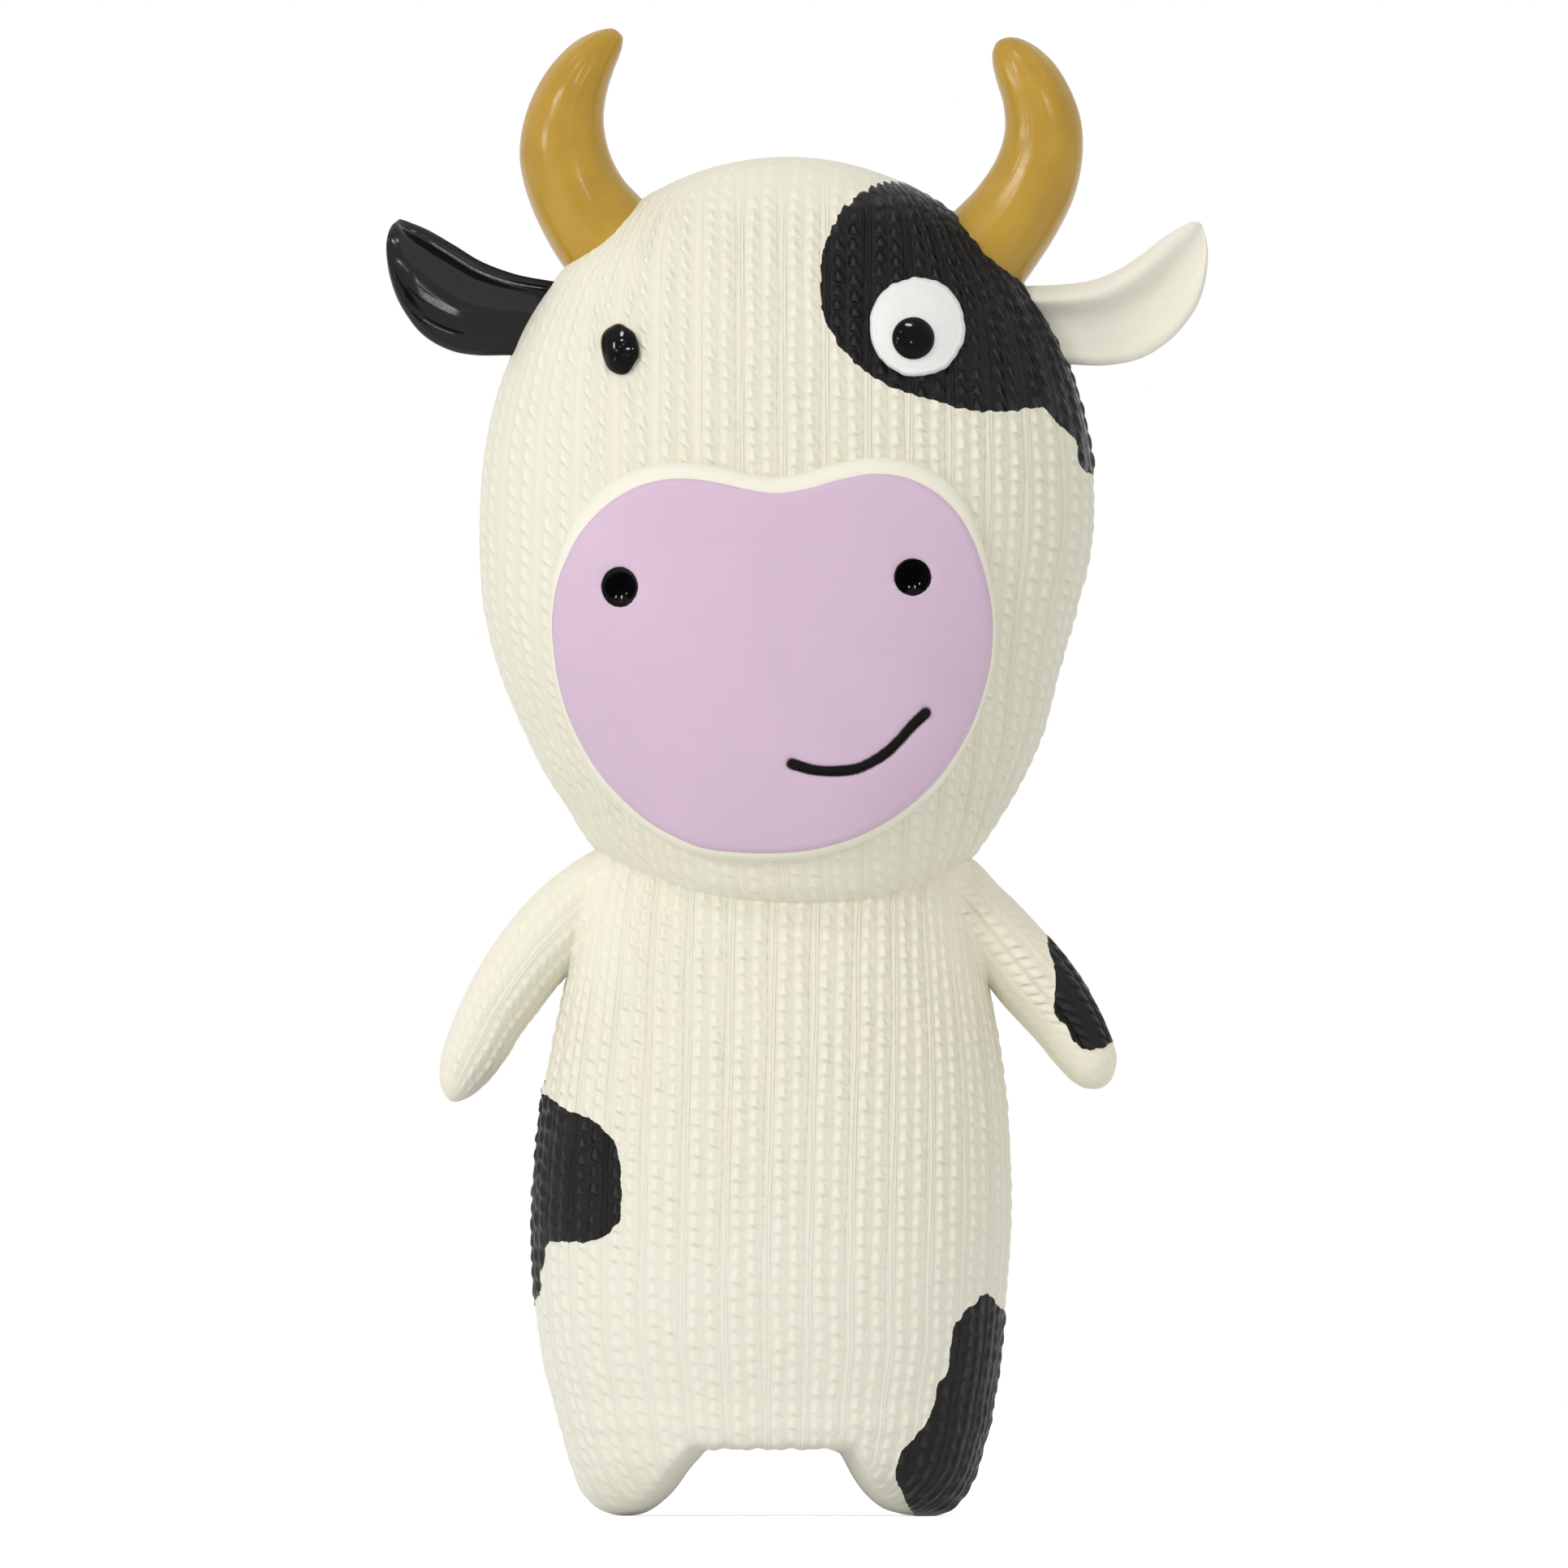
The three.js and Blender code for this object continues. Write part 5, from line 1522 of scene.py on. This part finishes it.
class BuildFillings(bpy.types.Operator):
    """Loose fibre in head, body and limbs"""

    bl_idname = "toy.fillings"
    bl_label = "Fillings"

    def execute(self, context):
        skins = {}
        for part in ("head", "body", "left_arm", "right_arm"):
            mesh = bpy.data.objects[f"knit_{part}"].data
            skins[part] = BVHTree.FromPolygons([v.co.copy() for v in mesh.vertices],
                                               [tuple(f.vertices) for f in mesh.polygons])
        for name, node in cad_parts.items():
            if name.endswith("_filling"):
                part = name.removesuffix("_filling")
                self.tuft(name, node, skins.get(part, skins["body"]))
        return {"FINISHED"}

    def tuft(self, name, node, skin):
        """Lumps of fibre in the shape of a node, kept clear of the skin round it."""
        item = bpy.data.objects.new(name.replace("_filling", "_fibre"), node.data.copy())
        bpy.context.scene.collection.objects.link(item)
        points, quads, tris = remeshed(item, 1.3, 3)
        normals = normals_of(points, quads, tris)
        x, y, z = points.T
        lumps = np.sin(0.9 * x + 0.5 * z) * np.sin(0.8 * y - 0.6 * z) * np.sin(0.7 * z + 0.4 * x)
        lumps = (lumps + 1) / 2
        points = points - normals * (0.2 + 0.9 * lumps)[:, None]
        for i, point in enumerate((points + OFFSET) * MM):
            place, out, _, _ = skin.find_nearest(point)
            inside_by = -(np.array(point) - place) @ np.array(out)
            if inside_by < FIBRE_GAP * MM:
                points[i] = (np.array(place) - np.array(out) * FIBRE_GAP * MM) / MM - OFFSET
        mesh = make_mesh(item.name, points, quads, tris)
        bpy.data.objects.remove(item)
        piece = add_piece(mesh.name, mesh, "filling_fibre", (name,))


# Bellows of the squeaker: outer radius between a fold and a hollow, half depth of a fold, wall,
# number of folds, height of the lower end, free length and travel of the crown
BELLOWS = (11.4, 0.8, 0.6, 3, 53.3, 11.4, 5.0)


class FinishSqueaker(bpy.types.Operator):
    """Folded bellows of the squeaker, and the finish of its other pieces"""

    bl_idname = "toy.squeaker"
    bl_label = "Squeaker"

    def execute(self, context):
        radius, fold, wall, folds, foot, free, travel = BELLOWS
        share = np.linspace(0, 1, 24 * folds + 1)
        wide = radius - fold * np.cos(2 * math.pi * folds * share)
        outer = np.stack([wide, foot + free * share], 1)
        profile = np.concatenate([outer, outer[::-1] - (wall, 0)])
        turn = np.linspace(0, 2 * math.pi, 96, endpoint=False)
        r, z = profile[:, :1], np.repeat(profile[:, 1:], len(turn), 1)
        ring = np.stack([SQUEAKER_X + r * np.cos(turn), r * np.sin(turn), z], -1)
        mesh = make_mesh("bellows_form", ring.reshape(-1, 3), tube_faces(*ring.shape[:2]), [])
        piece = add_piece("bellows_form", mesh, "squeaker_plastic", ("squeaker_bellows",))
        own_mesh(piece)
        for name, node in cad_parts.items():
            if name.startswith("squeaker"):
                for place in node.material_slots:
                    place.material = bpy.data.materials["squeaker_plastic"]
        return {"FINISHED"}


class MakeFinishes(bpy.types.Operator):
    """Materials of all pieces"""

    bl_idname = "toy.finishes"
    bl_label = "Finishes"

    def execute(self, context):
        c = colours()
        knit_finish()
        horn_finish()
        fibre_finish()
        plastic_finish()
        smooth_finish("cream_rubber", c.cream, 0.46, 0.05, 0.012, 0.28)
        # Painted shade: the cream ear is a darker copy of the cream
        smooth_finish("ear_rubber", shade(c.cream, (0.955, 0.95, 0.96)), 0.46, 0.08, 0.012, 0.24)
        smooth_finish("lilac_rubber", c.lilac, 0.46, 0.05, 0.014, 0.28)
        smooth_finish("black_rubber", shade(c.black, 0.5), 0.17, 0.002, 0.10, 0.27)
        gloss_finish("jet_enamel", c.jet, 0.03, 0.015, 0.08)
        gloss_finish("white_enamel", c.white, 0.30, 0.04, 0.30)
        return {"FINISHED"}


# Lamps: name, place and width in metres, share of the light at which white looks white, tint
LAMPS = (
    ("key", (-1.35, -1.6, 1.15), 0.5, 0.19, (1, 1, 1)),
    ("top", (-0.6, -1.1, 1.7), 0.13, 0.08, (1, 1, 1)),
    ("left", (-1.8, -1.3, 0.45), 0.5, 0.13, (1, 1, 1)),
    ("right", (0.8, -1.8, 0.9), 0.20, 0.078, (1, 0.96, 0.90)),
)
WORLD_LIGHT = 0.725
FLOOR_SIZE = 3.0
FLOOR_GLOW = 0.60
CAMERA_DISTANCE = 9.0


class BuildStage(bpy.types.Operator):
    """Floor, soft lamps, white surroundings and the camera"""

    bl_idname = "toy.stage"
    bl_label = "Stage"

    def execute(self, context):
        self.floor()
        self.surroundings()
        for lamp in LAMPS:
            self.lamp(*lamp)
        self.camera()
        context.scene.view_settings.view_transform = "Standard"
        return {"FINISHED"}

    def floor(self):
        bpy.ops.object.select_all(action="DESELECT")
        bpy.ops.mesh.primitive_plane_add(size=FLOOR_SIZE)
        floor = bpy.context.object
        floor.name = "floor"
        s = Shader("floor_white")
        base = s.mix(s.noise(s.places(), 0.02, 2.0), (0.84, 0.84, 0.84), (0.86, 0.86, 0.86))
        s.finish(base, 0.9, Specular_IOR_Level=0.0)
        glow = s.add("ShaderNodeEmission")
        glow.inputs["Strength"].default_value = FLOOR_GLOW
        both, pick = s.add("ShaderNodeAddShader"), s.add("ShaderNodeMixShader")
        rays = s.add("ShaderNodeLightPath").outputs
        seen = s.least(Value(s, rays["Is Camera Ray"]), rays["Is Glossy Ray"])
        s.put(pick.inputs[0], s.least(seen, rays["Is Transmission Ray"]))
        s.put(both.inputs[0], s.surface.outputs[0])
        s.put(both.inputs[1], glow.outputs[0])
        s.put(pick.inputs[1], s.surface.outputs[0])
        s.put(pick.inputs[2], both.outputs[0])
        s.put(s.nodes["Material Output"].inputs["Surface"], pick.outputs[0])
        floor.data.materials.append(s.material)

    def surroundings(self):
        world = bpy.data.worlds.new("studio")
        bpy.context.scene.world = world
        world.use_nodes = True
        nodes, links = world.node_tree.nodes, world.node_tree.links
        light = nodes["Background"]
        light.inputs["Color"].default_value = (1, 1, 1, 1)
        light.inputs["Strength"].default_value = WORLD_LIGHT
        white = nodes.new("ShaderNodeBackground")
        white.inputs["Strength"].default_value = 1.0
        white.inputs["Color"].default_value = (1, 1, 1, 1)
        path = nodes.new("ShaderNodeLightPath")
        pick = nodes.new("ShaderNodeMixShader")
        first, second = (nodes.new("ShaderNodeMath") for _ in range(2))
        first.operation = second.operation = "MAXIMUM"
        links.new(path.outputs["Is Camera Ray"], first.inputs[0])
        links.new(path.outputs["Is Glossy Ray"], first.inputs[1])
        links.new(first.outputs[0], second.inputs[0])
        links.new(path.outputs["Is Transmission Ray"], second.inputs[1])
        links.new(second.outputs[0], pick.inputs[0])
        links.new(light.outputs[0], pick.inputs[1])
        links.new(white.outputs[0], pick.inputs[2])
        links.new(pick.outputs[0], nodes["World Output"].inputs["Surface"])

    def lamp(self, name, place, size, share, tint):
        """A soft round lamp that gives this share of the light at which white looks white."""
        aim = np.array([0, 0, 0.12]) - np.array(place)
        data = bpy.data.lights.new(name, "AREA")
        data.shape = "DISK"
        data.color = tint
        data.size = size
        data.energy = share * math.pi**2 * float(aim @ aim)
        lamp = bpy.data.objects.new(name, data)
        bpy.context.scene.collection.objects.link(lamp)
        lamp.location = place
        lamp.rotation_euler = Vector(aim).to_track_quat("-Z", "Y").to_euler()

    def camera(self):
        x, z = at([(PICTURE / 2, PICTURE / 2)])[0]
        data = bpy.data.cameras.new("camera")
        data.sensor_width = 36.0
        data.lens = 36.0 * CAMERA_DISTANCE / (PICTURE * PIXEL * MM)
        data.clip_end = 40
        camera = bpy.data.objects.new("camera", data)
        bpy.context.scene.collection.objects.link(camera)
        camera.location = ((x + OFFSET[0]) * MM, -CAMERA_DISTANCE, z * MM)
        camera.rotation_euler = (math.pi / 2, 0, 0)
        bpy.context.scene.camera = camera


class ToyPanel(bpy.types.Panel):
    """The toy's sizes, colours and pieces."""

    bl_idname = "VIEW3D_PT_toy_cow"
    bl_label = "Toy cow"
    bl_space_type = "VIEW_3D"
    bl_region_type = "UI"
    bl_category = "Toy cow"

    def draw(self, context):
        for group in (context.scene.toy_sizes, context.scene.toy_colours):
            for key in group.bl_rna.properties.keys():
                if key not in ("rna_type", "name"):
                    self.layout.prop(group, key)
        for step in STEPS:
            self.layout.operator(step.bl_idname)


STEPS = (MakeFinishes, BuildHead, BuildBody, BuildArms, BuildHorns, BuildEars, BuildMuzzle,
         BuildNostrils, BuildEyes, BuildPlug, BuildFillings, FinishSqueaker, BuildStage)
CLASSES = (ToySizes, ToyColours, *STEPS, ToyPanel)


def register():
    for cls in CLASSES:
        bpy.utils.register_class(cls)
    bpy.types.Scene.toy_sizes = bpy.props.PointerProperty(type=ToySizes)
    bpy.types.Scene.toy_colours = bpy.props.PointerProperty(type=ToyColours)


def unregister():
    del bpy.types.Scene.toy_colours
    del bpy.types.Scene.toy_sizes
    for cls in reversed(CLASSES):
        bpy.utils.unregister_class(cls)


def main():
    register()
    for step in STEPS:
        group, name = step.bl_idname.split(".")
        getattr(getattr(bpy.ops, group), name)()


if __name__ == "__main__":
    main()
